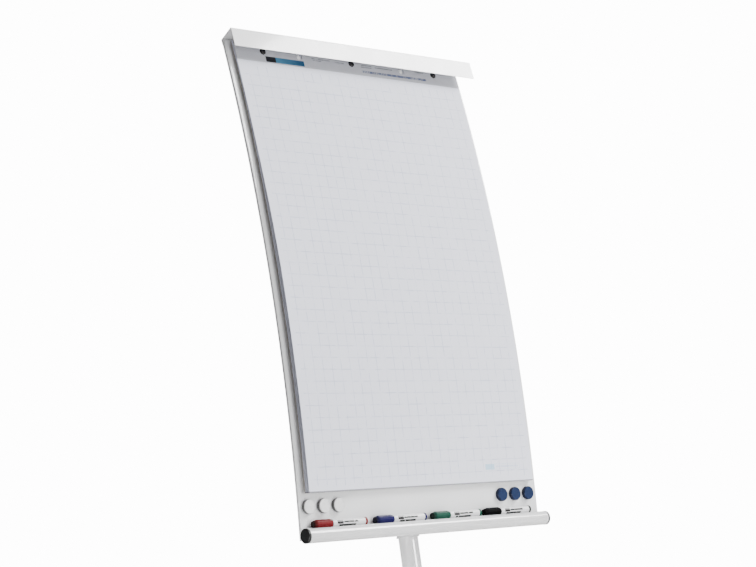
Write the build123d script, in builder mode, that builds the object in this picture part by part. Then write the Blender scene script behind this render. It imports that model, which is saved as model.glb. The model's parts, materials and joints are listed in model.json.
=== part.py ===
from build123d import *

import os
from math import cos, radians, sin

# Mobile flipchart easel. Millimetres, +Z up, the front faces -Y, +X is the user's right.
# The origin is on the floor, below the middle of the whole easel.
# Places on the board are given as: across (along X), height (up along the curved face from the
# pad's lower edge) and forward (out of the face, towards the user).

os.makedirs("parts", exist_ok=True)

RUN = 0.05          # radial clearance of a running fit
GAP = 0.3           # space between pieces that move past each other
SKIN = 0.05         # space under a flat piece that is fastened to a curved one
CUT = 1.0           # how far a cut runs past the piece
SAME = 0.01         # two lengths closer than this are the same

# Board: a sheet steel tray that bows towards the user
PAD_FOOT_Y = 54.7            # the board's face at the pad's lower edge
PAD_FOOT_Z = 900.0
FOOT_LEAN = 8.5              # degrees that the face leans back there
BEND_RADIUS = 4180.0
BOARD_WIDTH = 682.0
BOARD_LOW = -94.0
BOARD_HIGH = 986.0
BOARD_DEPTH = 6.0
SHEET = 1.0
CORE_BACK = -5.0
BOARD_EDGE = 1.5             # rounding of the folded long edges
PIN_SLOT = 50.0              # lets an outer pin move sideways
PIN_SLOT_WIDTH = 9.0

# Stiffening channels on the board's back
RIB_ACROSS = 170.0
RIB_WIDTH = 40.0
RIB_BACK = -24.0
RIB_SHEET = 1.5
RIB_LOW = -50.0
RIB_HIGH = 930.0

# Hood over the pins
HOOD_FRONT_WIDTH = 700.0
HOOD_BACK_WIDTH = 682.0
HOOD_REACH = 43.5
HOOD_LIP = 945.5
HOOD_RISE = 1.5
HOOD_SHEET = 1.2
HOOD_FOLD = 1.0
HOOD_FLANGE = 975.0
HOOD_SIDE = 10.0             # width of the wedge cut from each end
HOOD_SCREWS_ACROSS = (-320.0, -110.0, 110.0, 320.0)
HOOD_SCREW_HEIGHT = 980.0
HOOD_SCREW_RADIUS = 2.0
HOOD_SCREW_END = -1.5
HOOD_SCREW_BORE = 10.0
HOOD_SCREW_HEAD_RADIUS = 4.0
HOOD_SCREW_HEAD = 2.5

# Paper pad
PAD_WIDTH = 650.0
PAD_HIGH = 980.0
PAD_BACK = 4.0
BACKING_FRONT = 5.5
SHEETS_FRONT = 10.5
HEADER_FRONT = 11.6
HEADER_LOW = 934.0
HEADER_SHEET = 1.1
PIN_HEIGHT = 960.0
PIN_ACROSS = 250.0
PUNCH_ACROSS = (-250.0, -150.0, 0.0, 150.0, 250.0)
PUNCH_RADIUS = 8.0
PIN_RADIUS = 4.0
PIN_TAIL = -13.0
PIN_COLLAR_RADIUS = 9.0
PIN_COLLAR = 3.5
PIN_PEG_RADIUS = 7.2         # the part that fills a hole of the pad
PIN_PEG_FRONT = 15.0
PIN_PEG_DOME = 2.4
NUT_RADIUS = 8.5
NUT_SIDES = 8
NUT_LENGTH = 7.0

# Tray rail with its end caps and saddles
RAIL_RADIUS = 15.0
RAIL_WALL = 1.5
RAIL_LENGTH = 692.0
RAIL_HEIGHT = -85.0
RAIL_FORWARD = 21.5
CAP_THICKNESS = 4.0
CAP_HOLLOW = 12.0            # radius inside the cap's plug
CAP_PLUG = 12.0
CAP_ROUND = 1.5
SADDLE_ACROSS = 240.0
SADDLE_WIDTH = 24.0
SADDLE_OUTLINE = ((-8, 0), (7, 0), (6, 7), (-2, 12), (-8, 12))
SADDLE_SCREW_RADIUS = 2.5
SADDLE_SCREW_END = 4.0
SADDLE_SCREW_HEAD_RADIUS = 5.0
SADDLE_SCREW_HEAD = 3.0
SCREW_TAPER = 20.0

# Markers and magnets
MARKER_LENGTH = 141.0
MARKER_RADIUS = 8.2
MARKER_CAP_LENGTH = 49.0
MARKER_CAP_RADIUS = 9.5
MARKER_STARTS = {"red": -317.5, "blue": -152.5, "green": 8.5, "black": 161.5}
MARKER_INSERT_RADIUS = 6.5   # the part of the barrel inside the cap
MARKER_INSERT = 24.0
MARKER_NIB_RADIUS = 2.5
MARKER_NIB = 12.0
MARKER_INSERT_TAPER = 3.0
MARKER_NIB_TAPER = 4.0
MARKER_CAP_END = 6.0         # solid end of the cap
MARKER_CAP_CHAMFER = 1.6
MAGNET_RADIUS = 15.0
MAGNET_THICKNESS = 9.0
MAGNET_HEIGHT = -27.0
MAGNET_TAPER = 3.0
MAGNET_ROUND = 1.2
MAGNET_PLACES = {
    "white_magnet_1": -319.0,
    "white_magnet_2": -279.5,
    "white_magnet_3": -241.0,
    "blue_magnet_1": 228.5,
    "blue_magnet_2": 269.5,
    "blue_magnet_3": 310.5,
}

# Mast and the carriage that slides on it
MAST_LEAN = 12.0
MAST_Y = PAD_FOOT_Y + 45.5   # a point on the mast's axis, behind the board's lower edge
MAST_Z = 785.0
MAST_RADIUS = 21.2
TUBE_WALL = 2.0
MAST_FOOT = -731.0           # places along the mast's axis, counted from that point
MAST_TOP = 735.0
SLEEVE_RADIUS = 24.15
SLEEVE_LOW = 8.0
SLEEVE_HIGH = 560.0
BUSH_FLANGE = 3.0
BUSH_LENGTH = 40.0
BUSH_LIP = 0.9
TOP_CAP = 4.0
TOP_CAP_PLUG = 20.0
TOP_CAP_ROUND = 2.0
COLLAR_RADIUS = 26.0
COLLAR_TOP = -620.0
COLLAR_SCREW_RADIUS = 4.0
COLLAR_SCREW_LENGTH = 5.0
COLLAR_SCREW_GAP = 0.2
HEX_RADIUS = 6.5
HEX_SIDES = 6

# Height clamp: a knob on a stud that presses a shoe on the mast
KNOB_PLACE = 220.0
BOSS_RADIUS = 11.0
BOSS_ROOT = 5.0
BOSS_LENGTH = 17.0
BOSS_BORE = 60.0
STUD_RADIUS = 4.0
STUD_START = 2.1             # places counted out from the mast's surface
STUD_LENGTH = 30.0
SHOE_START = 0.8
SHOE_THICKNESS = 1.2
KNOB_START = 38.0            # counted out from the mast's axis
KNOB_RADIUS = 17.0
KNOB_LENGTH = 20.0
KNOB_ROUND = 3.0
KNOB_BORE = 15.3
LOBES = 5
LOBE_REACH = 19.0
LOBE_RADIUS = 8.0

# Brackets between the stiffening channels and the sleeve
BRACKET_LENGTH = 380.0
BRACKET_HEIGHT = 40.0
BRACKET_WALL = 2.0
BRACKET_GAP = 0.06
LOWER_BRACKET = -20.0
LOWER_BRACKET_DEPTH = 30.0
UPPER_BRACKET = 400.0
UPPER_BRACKET_DEPTH = 40.0

# Star base
HUB_RADIUS = 58.0
HUB_LOW = 62.0
HUB_HIGH = 98.0
HUB_Y = MAST_Y + (80.0 - MAST_Z) * sin(radians(MAST_LEAN)) / cos(radians(MAST_LEAN))
HUB_CHAMFER = 5.0
HUB_BORE = 60.0
ARM_REACH = 300.0
ARM_ROOT = 50.0
ARM_WALL = 2.5
ARM_LOW = 64.0
ARM_OPEN = 60.0              # the arms are hollow and open below
ARM_ROOT_HALF = 22.0
ARM_ROOT_HIGH = 94.0
ARM_TIP_HALF = 14.0
ARM_TIP_HIGH = 86.0
SOCKET_RADIUS = 17.0
SOCKET_TOP = 92.0
SOCKET_CAP = 4.0
SOCKET_CAP_ROUND = 2.5

# Twin-wheel castors
STEM_RADIUS = 5.5
STEM_TOP = 88.0
STEM_FOOT = 46.0
STEM_BORE = 20.0
STEM_BOSS_RADIUS = 10.0
STEM_BOSS = 20.0
WHEEL_RADIUS = 25.0
WHEEL_ROUND = 3.0
WHEEL_INSIDE = 7.0
WHEEL_OUTSIDE = 25.5
AXLE_RADIUS = 4.0
AXLE_HALF = 24.5
TRAIL = 18.0
WELL_RADIUS = 27.0
HOOD_RADIUS = 29.5
PEDAL_OUT = 50.0
PEDAL_UP = 40.0
PEDAL_PIN_RADIUS = 2.0
PEDAL_PIN_HALF = 14.4
PEDAL_BARREL_RADIUS = 4.0
PEDAL_BARREL_HALF = 10.0
PEDAL_TREAD_HALF = 13.0
PEDAL_ARM = ((0, 0), (0, 3.9), (22, -1), (22, -4))          # counted from the hinge
PEDAL_TREAD = ((6, -0.9), (6, 2.6), (22, -1), (22, -4))
HOUSING_SIDE = 1.5           # hood past the wheels
WEB_HALF = 6.0
WEB_BORE_HALF = 10.0
SKIRT_MIDDLE = 5.0
SKIRT_LENGTH = 80.0
SKIRT_HEIGHT = 22.0
EAR_INSIDE = 10.4
EAR_THICKNESS = 4.0
EAR_RADIUS = 4.5
EAR_OUTLINE = ((44, 28), (53, 36.5), (50, 44.5), (40, 46))
EAR_BORE_HALF = 16.0

# Each arm of the base: its direction from the hub, and where its castor trails at rest
ARMS = {
    "rear": (90.0, 40.0),
    "left": (162.0, 235.0),
    "front_left": (234.0, 160.0),
    "front_right": (306.0, 75.0),
    "right": (18.0, 320.0),
}
BRAKED = ("front_left", "front_right")

BEND_Y = PAD_FOOT_Y + BEND_RADIUS * cos(radians(FOOT_LEAN))
BEND_Z = PAD_FOOT_Z - BEND_RADIUS * sin(radians(FOOT_LEAN))
MAST_UP = (0, sin(radians(MAST_LEAN)), cos(radians(MAST_LEAN)))
MAST_OUT = (0, cos(radians(MAST_LEAN)), -sin(radians(MAST_LEAN)))


def keep(piece, name):
    """Labels a finished piece and writes it."""
    piece.part.label = name
    export_step(piece.part, f"parts/{name}.step")


def lean_at(height):
    """The face's lean there, in radians."""
    return radians(FOOT_LEAN) + height / BEND_RADIUS


def face_point(height, forward):
    """(y, z) of a place on or in front of the board."""
    reach = BEND_RADIUS + forward
    return (BEND_Y - reach * cos(lean_at(height)), BEND_Z + reach * sin(lean_at(height)))


def face_plane(across, height, forward):
    """A plane along the board's face: its x runs across, its y up the board, its z forward."""
    y, z = face_point(height, forward)
    lean = lean_at(height)
    return Plane(origin=(across, y, z), x_dir=(1, 0, 0), z_dir=(0, -cos(lean), sin(lean)))


def shelf_plane(height):
    """A plane square to the board's face: its x runs across, its y forward, its z down the board."""
    y, z = face_point(height, 0)
    lean = lean_at(height)
    return Plane(origin=(0, y, z), x_dir=(1, 0, 0), z_dir=(0, -sin(lean), -cos(lean)))


def cross_plane(across, height, forward):
    """A plane across the board: its x runs up the board, its y forward, its z along +X."""
    y, z = face_point(height, forward)
    lean = lean_at(height)
    return Plane(origin=(across, y, z), x_dir=(0, sin(lean), cos(lean)), z_dir=(1, 0, 0))


def band(low, high, back, front):
    """Outline of a band that follows the board's curve, in the side plane."""
    middle = (low + high) / 2
    with BuildLine() as outline:
        ThreePointArc(face_point(low, front), face_point(middle, front), face_point(high, front))
        Line(face_point(high, front), face_point(high, back))
        ThreePointArc(face_point(high, back), face_point(middle, back), face_point(low, back))
        Line(face_point(low, back), face_point(low, front))
    make_face(outline.edges())


def mast_plane(along):
    """A plane across the mast's axis, with its z up the mast."""
    y = MAST_Y + along * MAST_UP[1]
    z = MAST_Z + along * MAST_UP[2]
    return Plane(origin=(0, y, z), x_dir=(1, 0, 0), z_dir=MAST_UP)


def knob_plane(out):
    """A plane across the height knob's axis, with its z away from the mast."""
    y = MAST_Y + KNOB_PLACE * MAST_UP[1] + out * MAST_OUT[1]
    z = MAST_Z + KNOB_PLACE * MAST_UP[2] + out * MAST_OUT[2]
    return Plane(origin=(0, y, z), x_dir=(1, 0, 0), z_dir=MAST_OUT)


def arm_tip(angle):
    """(x, y) of a castor's stem."""
    return (ARM_REACH * cos(radians(angle)), HUB_Y + ARM_REACH * sin(radians(angle)))


def arm_plane(angle, reach):
    """A plane across an arm of the base, with its x sideways and its z outwards."""
    outward = (cos(radians(angle)), sin(radians(angle)), 0)
    sideways = (-outward[1], outward[0], 0)
    origin = (reach * outward[0], HUB_Y + reach * outward[1], 0)
    return Plane(origin=origin, x_dir=sideways, z_dir=outward)


def castor_plane(arm, aside):
    """A plane along a castor's wheels: its x trails, its y is up, its z is the axle's way."""
    angle, turn = ARMS[arm]
    x, y = arm_tip(angle)
    trail = (cos(radians(turn)), sin(radians(turn)), 0)
    axle = (trail[1], -trail[0], 0)
    origin = (x + aside * axle[0], y + aside * axle[1], 0)
    return Plane(origin=origin, x_dir=trail, z_dir=axle)


# ---------------------------------------------------------------- board

with BuildPart() as board_panel:
    with BuildSketch(Plane.YZ):
        band(BOARD_LOW, BOARD_HIGH, -BOARD_DEPTH, 0)
    extrude(amount=BOARD_WIDTH / 2, both=True)
    long_edges = board_panel.edges().filter_by(GeomType.CIRCLE)
    front_edges = long_edges.filter_by(lambda edge: abs(edge.radius - BEND_RADIUS) < SAME)
    fillet(front_edges, radius=BOARD_EDGE)
    with BuildSketch(Plane.YZ):
        band(BOARD_LOW + SHEET, BOARD_HIGH - SHEET, -BOARD_DEPTH - SHEET, -SHEET)
    extrude(amount=BOARD_WIDTH / 2 - SHEET, both=True, mode=Mode.SUBTRACT)
    for side in (-1, 1):
        with BuildSketch(face_plane(side * PIN_ACROSS, PIN_HEIGHT, 0)):
            SlotCenterToCenter(PIN_SLOT, PIN_SLOT_WIDTH)
        extrude(amount=BOARD_DEPTH, both=True, mode=Mode.SUBTRACT)
        with BuildSketch(face_plane(side * SADDLE_ACROSS, RAIL_HEIGHT, 0)):
            Circle(SADDLE_SCREW_RADIUS)
        extrude(amount=BOARD_DEPTH, both=True, mode=Mode.SUBTRACT)
    with BuildSketch(face_plane(0, PIN_HEIGHT, 0)):
        Circle(PIN_RADIUS)
    extrude(amount=BOARD_DEPTH, both=True, mode=Mode.SUBTRACT)
keep(board_panel, "board_panel")

with BuildPart() as board_core:
    with BuildSketch(Plane.YZ):
        band(BOARD_LOW + SHEET, BOARD_HIGH - SHEET, CORE_BACK, -SHEET)
    extrude(amount=BOARD_WIDTH / 2 - SHEET, both=True)
    for side in (-1, 1):
        with BuildSketch(face_plane(side * PIN_ACROSS, PIN_HEIGHT, 0)):
            SlotCenterToCenter(PIN_SLOT, PIN_SLOT_WIDTH)
        extrude(amount=BOARD_DEPTH, both=True, mode=Mode.SUBTRACT)
        with BuildSketch(face_plane(side * SADDLE_ACROSS, RAIL_HEIGHT, 0)):
            Circle(SADDLE_SCREW_RADIUS)
        extrude(amount=BOARD_DEPTH, both=True, mode=Mode.SUBTRACT)
    with BuildSketch(face_plane(0, PIN_HEIGHT, 0)):
        Circle(PIN_RADIUS)
    extrude(amount=BOARD_DEPTH, both=True, mode=Mode.SUBTRACT)
    for across in HOOD_SCREWS_ACROSS:
        with BuildSketch(face_plane(across, HOOD_SCREW_HEIGHT, HOOD_SCREW_END)):
            Circle(HOOD_SCREW_RADIUS)
        extrude(amount=-BOARD_DEPTH, mode=Mode.SUBTRACT)
keep(board_core, "board_core")

with BuildPart() as board_ribs:
    for side in (-1, 1):
        with BuildSketch(Plane.YZ.offset(side * RIB_ACROSS)):
            band(RIB_LOW, RIB_HIGH, RIB_BACK, CORE_BACK)
        extrude(amount=RIB_WIDTH / 2, both=True)
    for side in (-1, 1):
        with BuildSketch(Plane.YZ.offset(side * RIB_ACROSS)):
            band(RIB_LOW - CUT, RIB_HIGH + CUT, RIB_BACK + RIB_SHEET, CORE_BACK + CUT)
        extrude(amount=RIB_WIDTH / 2 - RIB_SHEET, both=True, mode=Mode.SUBTRACT)
keep(board_ribs, "board_ribs")

HOOD_BACK = -BOARD_DEPTH - HOOD_SHEET - SKIN

with BuildPart() as hood:
    with BuildSketch(Plane.YZ.offset(-HOOD_FRONT_WIDTH / 2)):
        with BuildLine():
            outer_top = BOARD_HIGH + HOOD_SHEET
            Polyline(
                face_point(HOOD_FLANGE, HOOD_BACK),
                face_point(outer_top, HOOD_BACK),
                face_point(outer_top + HOOD_RISE, HOOD_REACH),
                face_point(HOOD_LIP, HOOD_REACH),
                face_point(HOOD_LIP, HOOD_REACH - HOOD_SHEET),
                face_point(BOARD_HIGH + HOOD_RISE, HOOD_REACH - HOOD_SHEET),
                face_point(BOARD_HIGH, HOOD_BACK + HOOD_SHEET),
                face_point(HOOD_FLANGE, HOOD_BACK + HOOD_SHEET),
                close=True,
            )
        make_face()
    extrude(amount=HOOD_FRONT_WIDTH)
    fold_edges = hood.edges().filter_by(Axis.X).sort_by(Axis.Z)[-4:]
    outer_back_fold = fold_edges[1]
    outer_front_fold = fold_edges[3]
    fillet([outer_back_fold, outer_front_fold], radius=HOOD_FOLD)
    for side in (-1, 1):
        with BuildSketch(shelf_plane(PIN_HEIGHT)):
            with BuildLine():
                Polyline(
                    (side * HOOD_BACK_WIDTH / 2, HOOD_BACK - CUT),
                    (side * HOOD_BACK_WIDTH / 2, 0),
                    (side * HOOD_FRONT_WIDTH / 2, HOOD_REACH + CUT),
                    (side * (HOOD_FRONT_WIDTH / 2 + HOOD_SIDE), HOOD_REACH + CUT),
                    (side * (HOOD_FRONT_WIDTH / 2 + HOOD_SIDE), HOOD_BACK - CUT),
                    close=True,
                )
            make_face()
        extrude(amount=2 * HOOD_REACH, both=True, mode=Mode.SUBTRACT)
    for across in HOOD_SCREWS_ACROSS:
        with BuildSketch(face_plane(across, HOOD_SCREW_HEIGHT, HOOD_SCREW_END)):
            Circle(HOOD_SCREW_RADIUS)
        extrude(amount=-HOOD_SCREW_BORE, mode=Mode.SUBTRACT)
keep(hood, "hood")

# ---------------------------------------------------------------- tray rail

RAIL_HALF = RAIL_LENGTH / 2 - CAP_THICKNESS

with BuildPart() as rail_tube:
    with BuildSketch(cross_plane(-RAIL_HALF, RAIL_HEIGHT, RAIL_FORWARD)):
        Circle(RAIL_RADIUS)
        Circle(RAIL_RADIUS - RAIL_WALL, mode=Mode.SUBTRACT)
    extrude(amount=2 * RAIL_HALF)
keep(rail_tube, "rail_tube")

with BuildPart() as rail_caps:
    for side in (-1, 1):
        with BuildSketch(cross_plane(side * RAIL_HALF, RAIL_HEIGHT, RAIL_FORWARD)):
            Circle(RAIL_RADIUS)
        extrude(amount=side * CAP_THICKNESS)
        with BuildSketch(cross_plane(side * RAIL_HALF, RAIL_HEIGHT, RAIL_FORWARD)):
            Circle(RAIL_RADIUS - RAIL_WALL)
            Circle(CAP_HOLLOW, mode=Mode.SUBTRACT)
        extrude(amount=-side * CAP_PLUG)
    outer_rims = rail_caps.edges().filter_by(GeomType.CIRCLE).group_by(Axis.X)
    fillet(outer_rims[0] + outer_rims[-1], radius=CAP_ROUND)
keep(rail_caps, "rail_caps")

with BuildPart() as rail_saddles:
    for side in (-1, 1):
        with BuildSketch(cross_plane(side * SADDLE_ACROSS - SADDLE_WIDTH / 2, RAIL_HEIGHT, 0)):
            with BuildLine():
                Polyline(*SADDLE_OUTLINE, close=True)
            make_face()
            with Locations((0, RAIL_FORWARD)):
                Circle(RAIL_RADIUS, mode=Mode.SUBTRACT)
        extrude(amount=SADDLE_WIDTH)
        with BuildSketch(face_plane(side * SADDLE_ACROSS, RAIL_HEIGHT, 0)):
            Circle(SADDLE_SCREW_RADIUS)
        extrude(amount=SADDLE_SCREW_END, mode=Mode.SUBTRACT)
keep(rail_saddles, "rail_saddles")

with BuildPart() as board_screws:
    for side in (-1, 1):
        with BuildSketch(face_plane(side * SADDLE_ACROSS, RAIL_HEIGHT, CORE_BACK - SKIN)):
            Circle(SADDLE_SCREW_RADIUS)
        extrude(amount=SADDLE_SCREW_END - CORE_BACK)
        with BuildSketch(face_plane(side * SADDLE_ACROSS, RAIL_HEIGHT, CORE_BACK - SKIN)):
            Circle(SADDLE_SCREW_HEAD_RADIUS)
        extrude(amount=-SADDLE_SCREW_HEAD, taper=SCREW_TAPER)
    for across in HOOD_SCREWS_ACROSS:
        with BuildSketch(face_plane(across, HOOD_SCREW_HEIGHT, HOOD_BACK - SKIN)):
            Circle(HOOD_SCREW_RADIUS)
        extrude(amount=HOOD_SCREW_END - HOOD_BACK)
        with BuildSketch(face_plane(across, HOOD_SCREW_HEIGHT, HOOD_BACK - SKIN)):
            Circle(HOOD_SCREW_HEAD_RADIUS)
        extrude(amount=-HOOD_SCREW_HEAD, taper=SCREW_TAPER)
keep(board_screws, "board_screws")

# ---------------------------------------------------------------- pins and pad

with BuildPart() as pad_pins:
    for across in (-PIN_ACROSS, 0, PIN_ACROSS):
        with BuildSketch(face_plane(across, PIN_HEIGHT, PIN_TAIL)):
            Circle(PIN_RADIUS)
        extrude(amount=PIN_COLLAR - PIN_TAIL)
        with BuildSketch(face_plane(across, PIN_HEIGHT, 0)):
            Circle(PIN_COLLAR_RADIUS)
        extrude(amount=PIN_COLLAR)
        with BuildSketch(face_plane(across, PIN_HEIGHT, 0)):
            Circle(PIN_PEG_RADIUS)
        extrude(amount=PIN_PEG_FRONT)
    peg_rims = pad_pins.edges().filter_by(GeomType.CIRCLE)
    peg_rims = peg_rims.filter_by(lambda edge: abs(edge.radius - PIN_PEG_RADIUS) < SAME)
    fillet(peg_rims.sort_by(Axis.Y)[0:3], radius=PIN_PEG_DOME)
keep(pad_pins, "pad_pins")

with BuildPart() as pad_pin_nuts:
    for across in (-PIN_ACROSS, 0, PIN_ACROSS):
        with BuildSketch(face_plane(across, PIN_HEIGHT, CORE_BACK - SKIN)):
            RegularPolygon(NUT_RADIUS, NUT_SIDES)
            Circle(PIN_RADIUS, mode=Mode.SUBTRACT)
        extrude(amount=-NUT_LENGTH)
keep(pad_pin_nuts, "pad_pin_nuts")


def punch_holes(radius):
    """Cuts the pad's holes through the part in hand."""
    for across in PUNCH_ACROSS:
        with BuildSketch(face_plane(across, PIN_HEIGHT, 0)) as hole:
            Circle(radius)
        extrude(hole.sketch, amount=2 * HEADER_FRONT, mode=Mode.SUBTRACT)


with BuildPart() as pad_backing:
    with BuildSketch(Plane.YZ):
        band(0, PAD_HIGH - HEADER_SHEET, PAD_BACK, BACKING_FRONT)
    extrude(amount=PAD_WIDTH / 2, both=True)
    punch_holes(PUNCH_RADIUS)
keep(pad_backing, "pad_backing")

with BuildPart() as pad_sheets:
    with BuildSketch(Plane.YZ):
        band(0, PAD_HIGH - HEADER_SHEET, BACKING_FRONT, SHEETS_FRONT)
    extrude(amount=PAD_WIDTH / 2, both=True)
    punch_holes(PUNCH_RADIUS)
keep(pad_sheets, "pad_sheets")

with BuildPart() as pad_header:
    with BuildSketch(Plane.YZ):
        band(HEADER_LOW, PAD_HIGH, SHEETS_FRONT, HEADER_FRONT)
        band(PAD_HIGH - HEADER_SHEET, PAD_HIGH, PAD_BACK, HEADER_FRONT)
    extrude(amount=PAD_WIDTH / 2, both=True)
    punch_holes(PUNCH_RADIUS)
keep(pad_header, "pad_header")

# ---------------------------------------------------------------- markers and magnets

MARKER_FORWARD = MARKER_CAP_RADIUS + GAP
MARKER_RISE = 21.9           # up from the rail's axis, so that the cap just clears the rail
MARKER_HEIGHT = RAIL_HEIGHT + MARKER_RISE


def marker_parts(colour, start):
    """One marker lying behind the rail: its barrel with the nib, and its cap."""
    cap_end = start + MARKER_CAP_LENGTH
    nib_start = cap_end - MARKER_INSERT
    with BuildPart() as barrel:
        with BuildSketch(cross_plane(cap_end, MARKER_HEIGHT, MARKER_FORWARD)):
            Circle(MARKER_RADIUS)
        extrude(amount=MARKER_LENGTH - MARKER_CAP_LENGTH)
        with BuildSketch(cross_plane(cap_end, MARKER_HEIGHT, MARKER_FORWARD)):
            Circle(MARKER_INSERT_RADIUS)
        extrude(amount=-MARKER_INSERT, taper=MARKER_INSERT_TAPER)
        with BuildSketch(cross_plane(nib_start, MARKER_HEIGHT, MARKER_FORWARD)):
            Circle(MARKER_NIB_RADIUS)
        extrude(amount=-MARKER_NIB, taper=MARKER_NIB_TAPER)
    keep(barrel, f"{colour}_marker_barrel")
    with BuildPart() as cap:
        with BuildSketch(cross_plane(start, MARKER_HEIGHT, MARKER_FORWARD)):
            Circle(MARKER_CAP_RADIUS)
        extrude(amount=MARKER_CAP_LENGTH)
        end_face = cap.faces().sort_by(Axis.X)[0]
        chamfer(end_face.edges(), length=MARKER_CAP_CHAMFER)
        with BuildSketch(cross_plane(start + MARKER_CAP_END, MARKER_HEIGHT, MARKER_FORWARD)):
            Circle(MARKER_INSERT_RADIUS + RUN)
        extrude(amount=MARKER_CAP_LENGTH, mode=Mode.SUBTRACT)
    keep(cap, f"{colour}_marker_cap")


for colour, start in MARKER_STARTS.items():
    marker_parts(colour, start)

for name, across in MAGNET_PLACES.items():
    with BuildPart() as magnet:
        with BuildSketch(face_plane(across, MAGNET_HEIGHT, SKIN)):
            Circle(MAGNET_RADIUS)
        extrude(amount=MAGNET_THICKNESS, taper=MAGNET_TAPER)
        rim = magnet.faces().sort_by(Axis.Y)[0].edges()
        fillet(rim, radius=MAGNET_ROUND)
    keep(magnet, name)

# ---------------------------------------------------------------- carriage

with BuildPart() as carriage_sleeve:
    with BuildSketch(mast_plane(SLEEVE_LOW)):
        Circle(SLEEVE_RADIUS)
    extrude(amount=SLEEVE_HIGH - SLEEVE_LOW)
    with BuildSketch(knob_plane(SLEEVE_RADIUS - BOSS_ROOT)):
        Circle(BOSS_RADIUS)
    extrude(amount=BOSS_LENGTH)
    with BuildSketch(mast_plane(SLEEVE_LOW)):
        Circle(SLEEVE_RADIUS - TUBE_WALL)
    extrude(amount=SLEEVE_HIGH - SLEEVE_LOW, mode=Mode.SUBTRACT)
    with BuildSketch(knob_plane(0)):
        Circle(STUD_RADIUS + RUN)
    extrude(amount=BOSS_BORE, mode=Mode.SUBTRACT)
keep(carriage_sleeve, "carriage_sleeve")


def bush(name, end, inward):
    """A plastic liner in one end of the sleeve, with its flange outside."""
    with BuildPart() as liner:
        with BuildSketch(mast_plane(end)):
            Circle(SLEEVE_RADIUS - TUBE_WALL)
        extrude(amount=inward * BUSH_LENGTH)
        with BuildSketch(mast_plane(end)):
            Circle(SLEEVE_RADIUS + BUSH_LIP)
        extrude(amount=-inward * BUSH_FLANGE)
        with BuildSketch(mast_plane(end - inward * BUSH_FLANGE)):
            Circle(MAST_RADIUS + RUN)
        extrude(amount=inward * (BUSH_LENGTH + BUSH_FLANGE), mode=Mode.SUBTRACT)
    keep(liner, name)


bush("lower_bush", SLEEVE_LOW, 1)
bush("upper_bush", SLEEVE_HIGH, -1)


def bracket(name, height, depth):
    """A box tube across the stiffening channels, notched for the sleeve."""
    half = BRACKET_LENGTH / 2
    with BuildPart() as tube:
        with BuildSketch(cross_plane(-half, height, RIB_BACK - BRACKET_GAP)):
            with Locations((0, -depth / 2)):
                Rectangle(BRACKET_HEIGHT, depth)
                Rectangle(
                    BRACKET_HEIGHT - 2 * BRACKET_WALL,
                    depth - 2 * BRACKET_WALL,
                    mode=Mode.SUBTRACT,
                )
        extrude(amount=BRACKET_LENGTH)
        with BuildSketch(mast_plane(SLEEVE_LOW)):
            Circle(SLEEVE_RADIUS)
        extrude(amount=SLEEVE_HIGH - SLEEVE_LOW, mode=Mode.SUBTRACT)
    keep(tube, name)


bracket("lower_bracket", LOWER_BRACKET, LOWER_BRACKET_DEPTH)
bracket("upper_bracket", UPPER_BRACKET, UPPER_BRACKET_DEPTH)

with BuildPart() as clamp_shoe:
    with BuildSketch(knob_plane(MAST_RADIUS + SHOE_START)):
        Circle(STUD_RADIUS)
    extrude(amount=SHOE_THICKNESS)
keep(clamp_shoe, "clamp_shoe")

with BuildPart() as clamp_stud:
    with BuildSketch(knob_plane(MAST_RADIUS + STUD_START)):
        Circle(STUD_RADIUS)
    extrude(amount=STUD_LENGTH)
keep(clamp_stud, "clamp_stud")

with BuildPart() as height_knob:
    with BuildSketch(knob_plane(KNOB_START)):
        Circle(KNOB_RADIUS)
        with PolarLocations(LOBE_REACH, LOBES):
            Circle(LOBE_RADIUS)
    extrude(amount=KNOB_LENGTH)
    knob_top = height_knob.faces().sort_by(Axis.Y)[-1]
    fillet(knob_top.edges(), radius=KNOB_ROUND)
    with BuildSketch(knob_plane(KNOB_START)):
        Circle(STUD_RADIUS)
    extrude(amount=KNOB_BORE, mode=Mode.SUBTRACT)
keep(height_knob, "height_knob")

# ---------------------------------------------------------------- mast

SCREW_TURNS = (60.0, 120.0)
COLLAR_SCREW_PLACE = -650.0


def collar_screw_plane(turn, out):
    """A plane across a collar screw's axis, with its z away from the mast."""
    centre = mast_plane(COLLAR_SCREW_PLACE)
    way = centre.x_dir * cos(radians(turn)) + centre.y_dir * sin(radians(turn))
    return Plane(origin=centre.origin + way * out, x_dir=centre.z_dir, z_dir=way)


with BuildPart() as mast_tube:
    with BuildSketch(mast_plane(MAST_FOOT)):
        Circle(MAST_RADIUS)
        Circle(MAST_RADIUS - TUBE_WALL, mode=Mode.SUBTRACT)
    extrude(amount=MAST_TOP - MAST_FOOT)
keep(mast_tube, "mast_tube")

with BuildPart() as mast_top_cap:
    with BuildSketch(mast_plane(MAST_TOP - TOP_CAP_PLUG)):
        Circle(MAST_RADIUS - TUBE_WALL)
    extrude(amount=TOP_CAP_PLUG)
    with BuildSketch(mast_plane(MAST_TOP)):
        Circle(MAST_RADIUS)
    extrude(amount=TOP_CAP)
    cap_rim = mast_top_cap.faces().sort_by(Axis.Z)[-1].edges()
    fillet(cap_rim, radius=TOP_CAP_ROUND)
keep(mast_top_cap, "mast_top_cap")

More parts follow.
